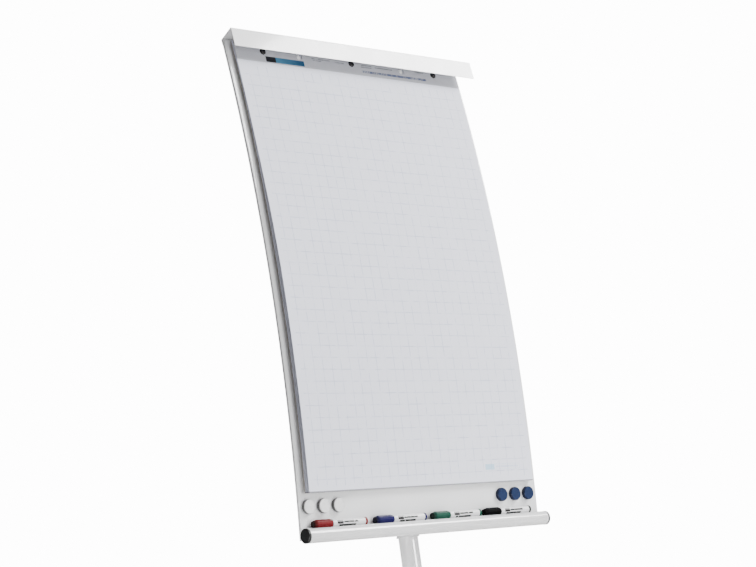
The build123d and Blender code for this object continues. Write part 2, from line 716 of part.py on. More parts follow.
with BuildPart() as mast_socket:
    with BuildSketch(mast_plane(MAST_FOOT)):
        Circle(COLLAR_RADIUS)
        Circle(MAST_RADIUS + RUN, mode=Mode.SUBTRACT)
    extrude(amount=COLLAR_TOP - MAST_FOOT)
    split(bisect_by=Plane.XY.offset(HUB_HIGH), keep=Keep.TOP)
    for turn in SCREW_TURNS:
        with BuildSketch(collar_screw_plane(turn, 0)):
            Circle(COLLAR_SCREW_RADIUS)
        extrude(amount=2 * COLLAR_RADIUS, mode=Mode.SUBTRACT)
keep(mast_socket, "mast_socket")

with BuildPart() as mast_screws:
    for turn in SCREW_TURNS:
        with BuildSketch(collar_screw_plane(turn, MAST_RADIUS)):
            Circle(COLLAR_SCREW_RADIUS)
        extrude(amount=COLLAR_SCREW_LENGTH)
        with BuildSketch(collar_screw_plane(turn, COLLAR_RADIUS + COLLAR_SCREW_GAP)):
            RegularPolygon(HEX_RADIUS, HEX_SIDES)
        extrude(amount=COLLAR_SCREW_LENGTH)
keep(mast_screws, "mast_screws")

# ---------------------------------------------------------------- star base

with BuildPart() as base_hub:
    with BuildSketch(Plane(origin=(0, HUB_Y, HUB_LOW))):
        Circle(HUB_RADIUS)
    extrude(amount=HUB_HIGH - HUB_LOW)
    chamfer(base_hub.edges().group_by(Axis.Z)[-1], length=HUB_CHAMFER)
    with BuildSketch(mast_plane(MAST_FOOT)):
        Circle(MAST_RADIUS)
    extrude(amount=HUB_BORE, mode=Mode.SUBTRACT)
keep(base_hub, "base_hub")


def arm_section(angle, reach, half_width, low, high):
    """A rectangle across an arm, for a loft."""
    with BuildSketch(arm_plane(angle, reach)) as section:
        with Locations((0, (low + high) / 2)):
            Rectangle(2 * half_width, high - low)
    return section.sketch


with BuildPart() as base_legs:
    for angle, turn in ARMS.values():
        root = arm_section(angle, ARM_ROOT, ARM_ROOT_HALF, ARM_LOW, ARM_ROOT_HIGH)
        tip = arm_section(angle, ARM_REACH, ARM_TIP_HALF, ARM_LOW, ARM_TIP_HIGH)
        loft(sections=[root, tip])
        root_half = ARM_ROOT_HALF - ARM_WALL
        tip_half = ARM_TIP_HALF - ARM_WALL
        hollow_root = arm_section(
            angle, ARM_ROOT - CUT, root_half, ARM_OPEN, ARM_ROOT_HIGH - ARM_WALL
        )
        hollow_tip = arm_section(
            angle, ARM_REACH + CUT, tip_half, ARM_OPEN, ARM_TIP_HIGH - ARM_WALL
        )
        loft(sections=[hollow_root, hollow_tip], mode=Mode.SUBTRACT)
    with BuildSketch(Plane(origin=(0, HUB_Y, HUB_LOW))):
        Circle(HUB_RADIUS)
    extrude(amount=HUB_HIGH, mode=Mode.SUBTRACT)
    for angle, turn in ARMS.values():
        x, y = arm_tip(angle)
        with BuildSketch(Plane(origin=(x, y, HUB_LOW))):
            Circle(SOCKET_RADIUS)
        extrude(amount=HUB_HIGH, mode=Mode.SUBTRACT)
keep(base_legs, "base_legs")

with BuildPart() as castor_sockets:
    for angle, turn in ARMS.values():
        x, y = arm_tip(angle)
        with BuildSketch(Plane(origin=(x, y, HUB_LOW))):
            Circle(SOCKET_RADIUS)
            Circle(STEM_RADIUS + RUN, mode=Mode.SUBTRACT)
        extrude(amount=SOCKET_TOP - HUB_LOW)
keep(castor_sockets, "castor_sockets")

with BuildPart() as socket_caps:
    for angle, turn in ARMS.values():
        x, y = arm_tip(angle)
        with BuildSketch(Plane(origin=(x, y, SOCKET_TOP))):
            Circle(SOCKET_RADIUS)
        extrude(amount=SOCKET_CAP)
    fillet(socket_caps.edges().group_by(Axis.Z)[-1], radius=SOCKET_CAP_ROUND)
keep(socket_caps, "socket_caps")

# ---------------------------------------------------------------- castors


def castor_housing(arm):
    """Centre web, arched hood and stem boss in one moulding."""
    x, y = arm_tip(ARMS[arm][0])
    with BuildPart() as housing:
        with BuildSketch(castor_plane(arm, 0)):
            with Locations((TRAIL, WHEEL_RADIUS)):
                Circle(HOOD_RADIUS)
            with Locations((TRAIL, SKIRT_MIDDLE)):
                Rectangle(SKIRT_LENGTH, SKIRT_HEIGHT, mode=Mode.SUBTRACT)
        extrude(amount=WHEEL_OUTSIDE + HOUSING_SIDE, both=True)
        with BuildSketch(Plane(origin=(x, y, PEDAL_UP))):
            Circle(STEM_BOSS_RADIUS)
        extrude(amount=STEM_BOSS)
        for side in (-1, 1):
            with BuildSketch(castor_plane(arm, side * WEB_HALF)):
                with Locations((TRAIL, WHEEL_RADIUS)):
                    Circle(WELL_RADIUS)
            extrude(amount=side * WHEEL_RADIUS, mode=Mode.SUBTRACT)
        if arm in BRAKED:
            for side in (-1, 1):
                with BuildSketch(castor_plane(arm, side * EAR_INSIDE)):
                    with Locations((PEDAL_OUT, PEDAL_UP)):
                        Circle(EAR_RADIUS)
                    with BuildLine():
                        Polyline(*EAR_OUTLINE, close=True)
                    make_face()
                    with Locations((TRAIL, WHEEL_RADIUS)):
                        Circle(WELL_RADIUS, mode=Mode.SUBTRACT)
                extrude(amount=side * EAR_THICKNESS)
            with BuildSketch(castor_plane(arm, -EAR_BORE_HALF)):
                with Locations((PEDAL_OUT, PEDAL_UP)):
                    Circle(PEDAL_PIN_RADIUS)
            extrude(amount=2 * EAR_BORE_HALF, mode=Mode.SUBTRACT)
        with BuildSketch(castor_plane(arm, -WEB_BORE_HALF)):
            with Locations((TRAIL, WHEEL_RADIUS)):
                Circle(AXLE_RADIUS)
        extrude(amount=2 * WEB_BORE_HALF, mode=Mode.SUBTRACT)
        with BuildSketch(Plane(origin=(x, y, STEM_FOOT))):
            Circle(STEM_RADIUS)
        extrude(amount=STEM_BORE, mode=Mode.SUBTRACT)
    keep(housing, f"castor_{arm}_housing")


def castor_pins(arm):
    """The steel stem and axle, and the brake pedal's hinge pin where there is one."""
    x, y = arm_tip(ARMS[arm][0])
    with BuildPart() as pins:
        with BuildSketch(Plane(origin=(x, y, STEM_FOOT))):
            Circle(STEM_RADIUS)
        extrude(amount=STEM_TOP - STEM_FOOT)
        with BuildSketch(castor_plane(arm, -AXLE_HALF)):
            with Locations((TRAIL, WHEEL_RADIUS)):
                Circle(AXLE_RADIUS)
        extrude(amount=2 * AXLE_HALF)
        if arm in BRAKED:
            with BuildSketch(castor_plane(arm, -PEDAL_PIN_HALF)):
                with Locations((PEDAL_OUT, PEDAL_UP)):
                    Circle(PEDAL_PIN_RADIUS)
            extrude(amount=2 * PEDAL_PIN_HALF)
    keep(pins, f"castor_{arm}_stem_and_axle")


def castor_wheels(arm):
    """The two wheels of one castor."""
    with BuildPart() as wheels:
        for side in (-1, 1):
            with BuildSketch(castor_plane(arm, side * WHEEL_INSIDE)):
                with Locations((TRAIL, WHEEL_RADIUS)):
                    Circle(WHEEL_RADIUS)
            extrude(amount=side * (WHEEL_OUTSIDE - WHEEL_INSIDE))
        treads = wheels.edges().filter_by(GeomType.CIRCLE)
        fillet(treads, radius=WHEEL_ROUND)
        with BuildSketch(castor_plane(arm, -WHEEL_OUTSIDE - CUT)):
            with Locations((TRAIL, WHEEL_RADIUS)):
                Circle(AXLE_RADIUS + RUN)
        extrude(amount=2 * (WHEEL_OUTSIDE + CUT), mode=Mode.SUBTRACT)
    keep(wheels, f"castor_{arm}_wheels")


def beside_hinge(outline):
    """Places counted from the pedal's hinge, counted from the stem instead."""
    return [(PEDAL_OUT + out, PEDAL_UP + up) for out, up in outline]


def brake_pedal(arm):
    """A pedal pressed down at rest, with its barrel between the housing's ears."""
    with BuildPart() as pedal:
        with BuildSketch(castor_plane(arm, -PEDAL_BARREL_HALF)):
            with Locations((PEDAL_OUT, PEDAL_UP)):
                Circle(PEDAL_BARREL_RADIUS)
            with BuildLine():
                Polyline(*beside_hinge(PEDAL_ARM), close=True)
            make_face()
        extrude(amount=2 * PEDAL_BARREL_HALF)
        with BuildSketch(castor_plane(arm, -PEDAL_TREAD_HALF)):
            with BuildLine():
                Polyline(*beside_hinge(PEDAL_TREAD), close=True)
            make_face()
        extrude(amount=2 * PEDAL_TREAD_HALF)
        with BuildSketch(castor_plane(arm, -PEDAL_TREAD_HALF - CUT)):
            with Locations((PEDAL_OUT, PEDAL_UP)):
                Circle(PEDAL_PIN_RADIUS + RUN)
        extrude(amount=2 * (PEDAL_TREAD_HALF + CUT), mode=Mode.SUBTRACT)
    keep(pedal, f"castor_{arm}_brake_pedal")


for arm in ARMS:
    castor_housing(arm)
    castor_pins(arm)
    castor_wheels(arm)

for arm in BRAKED:
    brake_pedal(arm)
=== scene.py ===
import json
import math
import random
from functools import partial

import bmesh
import bpy
from mathutils import Matrix, Vector, noise
from mathutils.geometry import delaunay_2d_cdt


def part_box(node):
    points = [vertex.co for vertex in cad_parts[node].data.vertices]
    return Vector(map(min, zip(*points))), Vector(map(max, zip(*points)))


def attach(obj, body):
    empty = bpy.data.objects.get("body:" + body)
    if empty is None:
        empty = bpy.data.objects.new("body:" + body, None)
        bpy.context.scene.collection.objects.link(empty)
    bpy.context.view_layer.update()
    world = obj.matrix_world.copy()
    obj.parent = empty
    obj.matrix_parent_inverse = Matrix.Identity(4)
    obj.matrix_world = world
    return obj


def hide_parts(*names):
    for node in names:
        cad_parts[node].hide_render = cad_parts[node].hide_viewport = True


# Looks of the flipchart easel, in metres. -Y is the front, +X the user's right, +Z up.
# Places on the board are (across, height, forward): along X, up along the curved face from the
# pad's lower edge, and out of the face towards the user.

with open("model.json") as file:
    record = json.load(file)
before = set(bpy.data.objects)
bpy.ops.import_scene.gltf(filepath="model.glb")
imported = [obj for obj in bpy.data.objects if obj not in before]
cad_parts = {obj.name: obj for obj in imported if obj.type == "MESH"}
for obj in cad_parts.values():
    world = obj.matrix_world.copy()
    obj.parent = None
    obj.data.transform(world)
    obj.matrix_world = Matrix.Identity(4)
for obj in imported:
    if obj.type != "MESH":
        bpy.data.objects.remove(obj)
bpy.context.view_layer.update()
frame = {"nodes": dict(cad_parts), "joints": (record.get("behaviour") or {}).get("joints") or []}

NODES = frame["nodes"]
JOINTS = {joint["name"]: joint for joint in frame["joints"]}
MM = 0.001

# ---------------- driving sizes

FOOT_LEAN = math.radians(8.5)
BEND_RADIUS = 4180 * MM
PAD_FOOT = Vector((0, 54.7 * MM, 900 * MM))
BEND_CENTRE = PAD_FOOT + BEND_RADIUS * Vector((0, math.cos(FOOT_LEAN), -math.sin(FOOT_LEAN)))

BOARD_HALF = 341 * MM
BOARD_LOW = -94 * MM
BOARD_HIGH = 986 * MM
BOARD_DEPTH = 6 * MM
SHEET = 1 * MM
GAP = 0.05 * MM              # between faces that would otherwise lie in one plane

PAD_HALF = 325 * MM
PAD_HIGH = 980 * MM
HEADER_LOW = 934 * MM
PAD_BACK = 4 * MM
BACKING_FRONT = 5.5 * MM
PAGES_FRONT = 10.5 * MM
HEADER_FRONT = 11.6 * MM
PIN_HEIGHT = 960 * MM
PUNCHES = [across * MM for across in (-250, -150, 0, 150, 250)]
PUNCH_RADIUS = 8 * MM

RAIL_RADIUS = 15 * MM
RAIL_HEIGHT = -85 * MM
RAIL_FORWARD = 21.5 * MM

MARKER_COLOURS = ("red", "blue", "green", "black")
MAGNETS = [f"{colour}_magnet_{number}" for colour in ("white", "blue") for number in (1, 2, 3)]
ARMS = ("rear", "left", "front_left", "front_right", "right")
BRAKED_ARMS = ("front_left", "front_right")

MAST_UP = Vector(JOINTS["height_slide"]["axis"])
KNOB_OUT = Vector(JOINTS["height_knob_turn"]["axis"])
KNOB_PLACE = 220 * MM
MAST_POINT = Vector(JOINTS["height_knob_turn"]["pos_m"]) - KNOB_PLACE * MAST_UP


def lean_at(height):
    """How far the face leans back there, in radians."""
    return FOOT_LEAN + height / BEND_RADIUS


def on_board(across, height, forward):
    """A place on or in front of the board, in the row frame."""
    reach = BEND_RADIUS + forward
    lean = lean_at(height)
    return BEND_CENTRE + Vector((across, -reach * math.cos(lean), reach * math.sin(lean)))


def board_normal(height):
    """Straight out of the board's face there."""
    lean = lean_at(height)
    return Vector((0, -math.cos(lean), math.sin(lean)))


# ---------------- materials


NOISE_LOW = 0.3              # nearly all of a noise texture lies between these
NOISE_HIGH = 0.7
ENAMEL_IOR = 1.5
PLASTIC_IOR = 1.48
PRINT_IOR = 1.45
PAPER_IOR = 1.4


class Graph:
    """Short calls for a shader node tree."""

    def __init__(self, tree):
        self.tree = tree

    def add(self, kind, **settings):
        """A new node with its settings."""
        node = self.tree.nodes.new(kind)
        for key, value in settings.items():
            setattr(node, key, value)
        return node

    def feed(self, socket, value):
        """Links an output to a socket, or sets a plain value on it."""
        if isinstance(value, bpy.types.NodeSocket):
            self.tree.links.new(value, socket)
        else:
            socket.default_value = value

    def maths(self, operation, first, second=0.0, third=0.0):
        """A Math node's result."""
        node = self.add("ShaderNodeMath", operation=operation)
        for socket, value in zip(node.inputs, (first, second, third)):
            self.feed(socket, value)
        return node.outputs[0]

    def span(self, value, low, high, to_low=0.0, to_high=1.0):
        """Maps a value's range to another, and holds it at the ends."""
        node = self.add("ShaderNodeMapRange")
        for socket, amount in zip(node.inputs, (value, low, high, to_low, to_high)):
            self.feed(socket, amount)
        return node.outputs[0]


class Paint(Graph):
    """A Principled material on the object's own coordinates."""

    def __init__(self, name, **constants):
        self.material = bpy.data.materials.new(name)
        self.material.use_nodes = True
        super().__init__(self.material.node_tree)
        self.shader = self.tree.nodes["Principled BSDF"]
        self.place = self.add("ShaderNodeTexCoord").outputs["Object"]
        for socket, value in constants.items():
            self.shader.inputs[socket.replace("_", " ")].default_value = value

    def stretched(self, scale):
        """The object's coordinates scaled along each axis."""
        node = self.add("ShaderNodeMapping")
        self.feed(node.inputs["Vector"], self.place)
        node.inputs["Scale"].default_value = scale
        return node.outputs[0]

    def noise(self, size, detail=3.0, roughness=0.55, place=None):
        """Cloudy noise whose features are about that size."""
        node = self.add("ShaderNodeTexNoise")
        self.feed(node.inputs["Vector"], place or self.place)
        node.inputs["Scale"].default_value = 1 / size
        node.inputs["Detail"].default_value = detail
        node.inputs["Roughness"].default_value = roughness
        return node.outputs["Fac"]

    def blend(self, share, first, second):
        """A colour between two colours."""
        node = self.add("ShaderNodeMix", data_type="RGBA")
        self.feed(node.inputs["Factor"], share)
        self.feed(node.inputs["A"], first)
        self.feed(node.inputs["B"], second)
        return node.outputs["Result"]

    def between(self, share, low, high):
        """A value between two values."""
        return self.span(share, 0.0, 1.0, low, high)

    def tint(self, tone, share, strength, colour):
        """A tone with another colour laid over it, as far as a share and a strength say."""
        return self.blend(self.maths("MULTIPLY", share, strength), tone, colour)

    def cloud(self, size, detail=4.0, to_low=0.0, to_high=1.0):
        """Noise spread over a whole range."""
        return self.span(self.noise(size, detail), NOISE_LOW, NOISE_HIGH, to_low, to_high)

    def stored(self, name):
        """A value kept on the mesh's points."""
        return self.add("ShaderNodeAttribute", attribute_name=name).outputs["Fac"]

    def bump(self, height, depth):
        """A normal bumped by a height map of that depth."""
        node = self.add("ShaderNodeBump")
        node.inputs["Distance"].default_value = depth
        self.feed(node.inputs["Height"], height)
        return node.outputs[0]

    def finish(self, colour, roughness, normal=None):
        """Feeds the shader and gives the material."""
        self.feed(self.shader.inputs["Base Color"], colour)
        self.feed(self.shader.inputs["Roughness"], roughness)
        if normal:
            self.feed(self.shader.inputs["Normal"], normal)
        return self.material


def rgb(red, green, blue):
    """A colour with full alpha."""
    return (red, green, blue, 1.0)


def shade(colour, factor):
    """A colour made darker or lighter."""
    return (colour[0] * factor, colour[1] * factor, colour[2] * factor, 1.0)


def lacquer(
    name, colour, roughness=0.3, peel=1.6 * MM, coat=0.25, coat_roughness=0.12, coat_ior=ENAMEL_IOR
):
    """Sprayed enamel: faint orange peel, slow changes of tone, dust specks and rubbed places."""
    paint = Paint(
        name, Coat_Weight=coat, Coat_Roughness=coat_roughness, Coat_IOR=coat_ior, IOR=ENAMEL_IOR
    )
    specks = paint.span(paint.noise(size=0.9 * MM, detail=1.0), 0.72, 0.8)
    tone = paint.blend(paint.cloud(size=90 * MM), shade(colour, 0.965), colour)
    tone = paint.tint(tone, specks, strength=0.25, colour=shade(colour, 0.72))
    gloss = paint.cloud(size=35 * MM, detail=5.0, to_low=roughness - 0.06, to_high=roughness + 0.07)
    return paint.finish(tone, gloss, paint.bump(paint.noise(peel, detail=2.0), depth=0.035 * MM))


def wipe_face(name, colour):
    """Glossy dry-wipe enamel, with the faint sideways smears that a cloth leaves."""
    paint = Paint(name, Coat_Weight=0.4, Coat_Roughness=0.06, IOR=ENAMEL_IOR)
    sideways = paint.stretched((6.0, 22.0, 22.0))
    smears = paint.span(paint.noise(size=1.0, detail=5.0, roughness=0.6, place=sideways), 0.48, 0.72)
    tone = paint.blend(paint.cloud(size=160 * MM, detail=3.0), shade(colour, 0.975), colour)
    tone = paint.tint(tone, smears, strength=0.3, colour=rgb(0.78, 0.79, 0.82))
    gloss = paint.between(smears, 0.16, 0.34)
    return paint.finish(tone, gloss, paint.bump(paint.noise(2.4 * MM, detail=2.0), depth=0.02 * MM))


def moulded(name, colour, roughness=0.4, grain=0.5 * MM, grain_depth=0.02 * MM, shine=0.5, painted_shade=None):
    """Moulded plastic: fine grain, slight mottling and scuffed, paler patches."""
    paint = Paint(name, Specular_IOR_Level=shine, IOR=PLASTIC_IOR)
    mottle = paint.cloud(size=6 * MM)
    scuffs = paint.span(paint.noise(size=2.2 * MM, detail=6.0, roughness=0.7), 0.6, 0.75)
    paler = rgb(*(min(1.0, part * 1.25 + 0.004) for part in colour[:3]))
    tone = paint.blend(mottle, shade(colour, 0.9), colour)
    tone = paint.tint(tone, scuffs, strength=0.35, colour=paler)
    # painted shade, in the second colour, on the points that a mesh marks
    if painted_shade:
        tone = paint.blend(paint.stored("painted_shade"), tone, painted_shade)
    gloss = paint.between(mottle, roughness - 0.05, roughness + 0.08)
    return paint.finish(tone, gloss, paint.bump(paint.noise(grain, detail=2.0), grain_depth))


def plated(name, colour, roughness=0.28):
    """Zinc plate or turned brass: fine lines, and dull blooms."""
    paint = Paint(name, Metallic=1.0)
    bloom = paint.noise(size=4 * MM, detail=5.0, roughness=0.65)
    along = paint.stretched((900.0, 900.0, 6000.0))
    lines = paint.noise(size=1.0, detail=2.0, roughness=0.5, place=along)
    tone = paint.blend(paint.span(bloom, 0.35, NOISE_HIGH), colour, shade(colour, 0.72))
    gloss = paint.span(bloom, NOISE_LOW, NOISE_HIGH, to_low=roughness, to_high=roughness + 0.2)
    return paint.finish(tone, gloss, paint.bump(lines, depth=0.008 * MM))


def tread_rubber(name, colour):
    """Matt wheel tread with floor dust pressed into it."""
    paint = Paint(name, IOR=PRINT_IOR)
    dust = paint.span(paint.noise(size=7 * MM, detail=6.0, roughness=0.7), 0.5, 0.75)
    tone = paint.tint(colour, dust, strength=0.5, colour=rgb(0.2, 0.19, 0.18))
    gloss = paint.between(dust, 0.55, 0.85)
    return paint.finish(tone, gloss, paint.bump(paint.noise(0.7 * MM, detail=3.0), depth=0.05 * MM))


def card_board(name, colour):
    """Brownish board with flecks."""
    paint = Paint(name, IOR=PAPER_IOR, Specular_IOR_Level=0.2)
    flecks = paint.span(paint.noise(size=1.6 * MM, detail=4.0, roughness=0.7), 0.58, 0.7)
    tone = paint.blend(paint.cloud(size=50 * MM), shade(colour, 0.88), colour)
    tone = paint.tint(tone, flecks, strength=0.5, colour=shade(colour, 0.6))
    return paint.finish(tone, 0.85, paint.bump(paint.noise(0.8 * MM, detail=4.0), depth=0.06 * MM))


# Printing and one painted shadow, as (left, right, low, high) in millimetres on the board

GRID_AREA = (-312, 312, 12, 922)
GRID_PITCH = 25 * MM
GRID_LINE = 1.2 * MM
# Painted contact shadow: a dark band along the pad's foot, where shade falls under its edge
FOOT_PAINTED_SHADOW = (-330, 330, -2, 2.2)
STAMP_BLOCK = (181, 208, 28, 40)
STAMP_OUTSIDE = (208, 288, 28, 40.5)
STAMP_INSIDE = (209, 287, 29.2, 39.3)
STAMP_PRINT = (214, 282, 32.5, 36)
STAMP_PITCH = 4.6 * MM
HEADER_BLOCK = (-246, -219, 936, 949.2)
HEADER_BAR = (-219, -140, 936, 949.2)
SMALL_PRINT = (
    (-115, -63, 958.4, 960.6),
    (-112, -89, 954.4, 956.6),
    (-48, -22, 956.8, 959.0),
    (29, 60, 959.2, 961.4),
    (28, 59, 954.4, 956.6),
    (69, 122, 957.2, 959.4),
    (191, 220, 960.4, 962.8),
)
SMALL_PITCH = 3.4 * MM
LARGE_PRINT = (28, 223, 941.2, 946.8)
LARGE_PITCH = 5.2 * MM


def board_coordinates(paint):
    """(across, height up the curved board) as shader values."""
    parts = paint.add("ShaderNodeSeparateXYZ")
    paint.feed(parts.inputs[0], paint.place)
    back = paint.maths("SUBTRACT", BEND_CENTRE.y, parts.outputs["Y"])
    up = paint.maths("SUBTRACT", parts.outputs["Z"], BEND_CENTRE.z)
    turn = paint.maths("ARCTAN2", up, back)
    height = paint.maths("MULTIPLY", paint.maths("SUBTRACT", turn, FOOT_LEAN), BEND_RADIUS)
    return parts.outputs["X"], height


def inside(paint, value, low, high):
    """1 between two values, else 0."""
    above = paint.maths("GREATER_THAN", value, low)
    below = paint.maths("LESS_THAN", value, high)
    return paint.maths("MULTIPLY", above, below)


def patch(paint, spot, area):
    """1 inside an area of the board, else 0."""
    left, right, low, high = (edge * MM for edge in area)
    across, height = spot
    sideways = inside(paint, across, left, right)
    return paint.maths("MULTIPLY", sideways, inside(paint, height, low, high))


def dashes(paint, along, pitch, patches=9 * MM, coverage=0.85):
    """1 on uneven dashes, which stand for a line of print."""
    phase = paint.maths("PINGPONG", along, pitch / 2)
    edge = paint.maths("MULTIPLY", paint.noise(patches, detail=0.0), pitch * coverage)
    return paint.maths("LESS_THAN", phase, edge)


def grid_line(paint, value):
    """Soft lines at the grid's pitch."""
    phase = paint.maths("PINGPONG", value, GRID_PITCH / 2)
    return paint.span(phase, GRID_LINE * 0.4, GRID_LINE, to_low=1.0, to_high=0.0)


def paper(name, colour):
    """Uncoated paper: fibres, slight clouding, a pale square grid, a blank stamp, and painted shadow
    along its foot.
    """
    paint = Paint(name, IOR=PAPER_IOR, Specular_IOR_Level=0.25)
    spot = board_coordinates(paint)
    lines = paint.maths("MAXIMUM", *(grid_line(paint, value) for value in spot))
    worn = paint.span(paint.noise(size=22 * MM, detail=3.0), 0.38, 0.62, to_low=0.1, to_high=1.0)
    grid = paint.maths("MULTIPLY", paint.maths("MULTIPLY", lines, patch(paint, spot, GRID_AREA)), worn)
    outline = paint.maths(
        "SUBTRACT", patch(paint, spot, STAMP_OUTSIDE), patch(paint, spot, STAMP_INSIDE)
    )
    print_row = paint.maths(
        "MULTIPLY", dashes(paint, spot[0], STAMP_PITCH), patch(paint, spot, STAMP_PRINT)
    )
    tone = paint.blend(paint.cloud(size=55 * MM), shade(colour, 0.975), colour)
    for share, strength, ink in (
        (grid, 0.7, rgb(0.44, 0.48, 0.62)),
        # painted shadow under the pad's lower edge
        (patch(paint, spot, FOOT_PAINTED_SHADOW), 0.8, rgb(0.16, 0.16, 0.18)),
        (patch(paint, spot, STAMP_BLOCK), 0.7, rgb(0.33, 0.58, 0.76)),
        (outline, 0.3, rgb(0.40, 0.62, 0.80)),
        (print_row, 0.4, rgb(0.40, 0.52, 0.72)),
    ):
        tone = paint.tint(tone, share, strength, ink)
    fibres = paint.noise(size=0.6 * MM, detail=5.0, roughness=0.7)
    return paint.finish(tone, 0.78, paint.bump(fibres, depth=0.03 * MM))


def header_card(name, colour):
    """Grey printed card: a plain two-tone bar and rows of dashes."""
    paint = Paint(name, IOR=PRINT_IOR, Specular_IOR_Level=0.25)
    spot = board_coordinates(paint)
    tone = paint.blend(paint.cloud(size=40 * MM), shade(colour, 0.96), colour)
    tone = paint.blend(patch(paint, spot, HEADER_BLOCK), tone, rgb(0.004, 0.005, 0.008))
    fade = paint.span(spot[0], -210 * MM, -150 * MM)
    blue = paint.blend(fade, rgb(0.045, 0.15, 0.25), rgb(0.012, 0.06, 0.13))
    tone = paint.blend(patch(paint, spot, HEADER_BAR), tone, blue)
    rows = [(area, SMALL_PITCH, 0.75, rgb(0.08, 0.08, 0.10)) for area in SMALL_PRINT]
    rows.append((LARGE_PRINT, LARGE_PITCH, 0.85, rgb(0.045, 0.065, 0.15)))
    for area, pitch, strength, ink in rows:
        row = paint.maths("MULTIPLY", dashes(paint, spot[0], pitch), patch(paint, spot, area))
        tone = paint.tint(tone, row, strength, ink)
    return paint.finish(tone, 0.5, paint.bump(paint.noise(0.5 * MM, detail=3.0), depth=0.015 * MM))


# Bars on a marker: start and end along it in mm, low and high around it in degrees, pitch in mm
MARKER_BARS = (
    (59, 75, -46, 8, None),
    (76, 114, -36, -6, 3.1),
    (64, 109, 14, 54, 4.3),
)


def marker_print(name, white, ink):
    """White barrel with plain bars of print, in place of a label."""
    paint = Paint(name, Coat_Weight=0.12, Coat_Roughness=0.1, IOR=PRINT_IOR)
    along = paint.stored("along")
    around = paint.stored("around")
    mottle = paint.cloud(size=12 * MM, detail=3.0)
    tone = paint.blend(mottle, shade(white, 0.97), white)
    for start, end, low, high, pitch in MARKER_BARS:
        lengthways = inside(paint, along, start * MM, end * MM)
        bar = paint.maths("MULTIPLY", lengthways, inside(paint, around, low, high))
        if pitch:
            broken = dashes(paint, along, pitch * MM, patches=7 * MM, coverage=1.3)
            bar = paint.maths("MULTIPLY", bar, broken)
        tone = paint.blend(bar, tone, ink)
    gloss = paint.between(mottle, 0.22, 0.3)
    return paint.finish(tone, gloss, paint.bump(paint.noise(3 * MM, detail=2.0), depth=0.02 * MM))


def magnet_plastic(name, colour, painted_shade, roughness, shine):
    """Smooth plastic, with painted shade on its flank."""
    return moulded(name, colour, roughness, 2 * MM, 0.01 * MM, shine, painted_shade)


def cap_plastic(name, colour, painted_shade, roughness=0.3, shine=0.1):
    """Coloured marker plastic, with painted shade at its end."""
    return moulded(name, colour, roughness, 1.5 * MM, 0.01 * MM, shine, painted_shade)


LOOKS = {
    "white_lacquer": lacquer("look_white_lacquer", rgb(0.86, 0.86, 0.865)),
    "gloss_lacquer": lacquer(
        "look_gloss_lacquer", rgb(0.85, 0.85, 0.855), coat=1.0, coat_roughness=0.07
    ),
    "rail_lacquer": lacquer(
        "look_rail_lacquer", rgb(0.72, 0.72, 0.725), roughness=0.24, coat=1.0, coat_roughness=0.07
    ),
    "board_face": wipe_face("look_board_face", rgb(0.88, 0.885, 0.89)),
    # A shinier coat than paint has, so that the column shows the front light as a stripe
    "tube_lacquer": lacquer(
        "look_tube_lacquer",
        rgb(0.78, 0.78, 0.79),
        peel=1.3 * MM,
        coat=1.0,
        coat_roughness=0.05,
        coat_ior=2.6,
    ),
    "base_lacquer": lacquer(
        "look_base_lacquer", rgb(0.68, 0.68, 0.69), roughness=0.42, peel=0.9 * MM, coat=0.1
    ),
    "zinc_steel": plated("look_zinc", rgb(0.66, 0.66, 0.68)),
    "brass": plated("look_brass", rgb(0.72, 0.52, 0.25)),
    "black_plastic": moulded(
        "look_black_plastic", rgb(0.008, 0.008, 0.009), roughness=0.38, shine=0.35
    ),
    "wheel_plastic": tread_rubber("look_wheel", rgb(0.035, 0.035, 0.036)),
    "bush_plastic": moulded("look_bush", rgb(0.55, 0.55, 0.56), roughness=0.45),
    "fibreboard": card_board("look_fibreboard", rgb(0.36, 0.27, 0.18)),
    "brown_card": card_board("look_backing", rgb(0.42, 0.38, 0.33)),
    "grey_card": header_card("look_header", rgb(0.43, 0.435, 0.47)),
    "pad_paper": paper("look_paper", rgb(0.82, 0.835, 0.93)),
    # The magnets' second colour is painted shade on their flanks
    "magnet_white": magnet_plastic(
        "look_magnet_white", rgb(0.83, 0.83, 0.83), rgb(0.09, 0.09, 0.092), 0.34, 0.5
    ),
    "magnet_blue": magnet_plastic(
        "look_magnet_blue", rgb(0.008, 0.020, 0.066), rgb(0.004, 0.008, 0.03), 0.36, 0.2
    ),
    "marker_white": marker_print(
        "look_marker_print", rgb(0.82, 0.82, 0.83), rgb(0.004, 0.004, 0.005)
    ),
    # Each cap's second colour is painted shade at its left end
    "ink_red": cap_plastic("look_ink_red", rgb(0.155, 0.006, 0.009), rgb(0.02, 0.004, 0.004)),
    "ink_blue": cap_plastic("look_ink_blue", rgb(0.006, 0.004, 0.068), rgb(0.004, 0.004, 0.016)),
    "ink_green": cap_plastic("look_ink_green", rgb(0.006, 0.064, 0.040), rgb(0.002, 0.012, 0.008)),
    "ink_black": cap_plastic(
        "look_ink_black", rgb(0.001, 0.001, 0.0012), rgb(0.003, 0.003, 0.003), 0.4, 0.03
    ),
}


# ---------------- mesh tools

ON_AXIS = 0.001 * MM         # radii below this are poles
NEARLY_STRAIGHT = math.pi - 0.01
NEARLY_ALONG = 0.99
WELD = 0.002 * MM
CAD_WELD = 0.01 * MM
SHARP_ANGLE = math.radians(35)
BEVEL_ANGLE = math.radians(38)


def in_mm(values):
    """Millimetres as metres, for a list of numbers or of points."""
    return [
        tuple(part * MM for part in value) if isinstance(value, tuple) else value * MM
        for value in values
    ]


def held(share):
    """A share kept between 0 and 1."""
    return min(1.0, max(0.0, share))


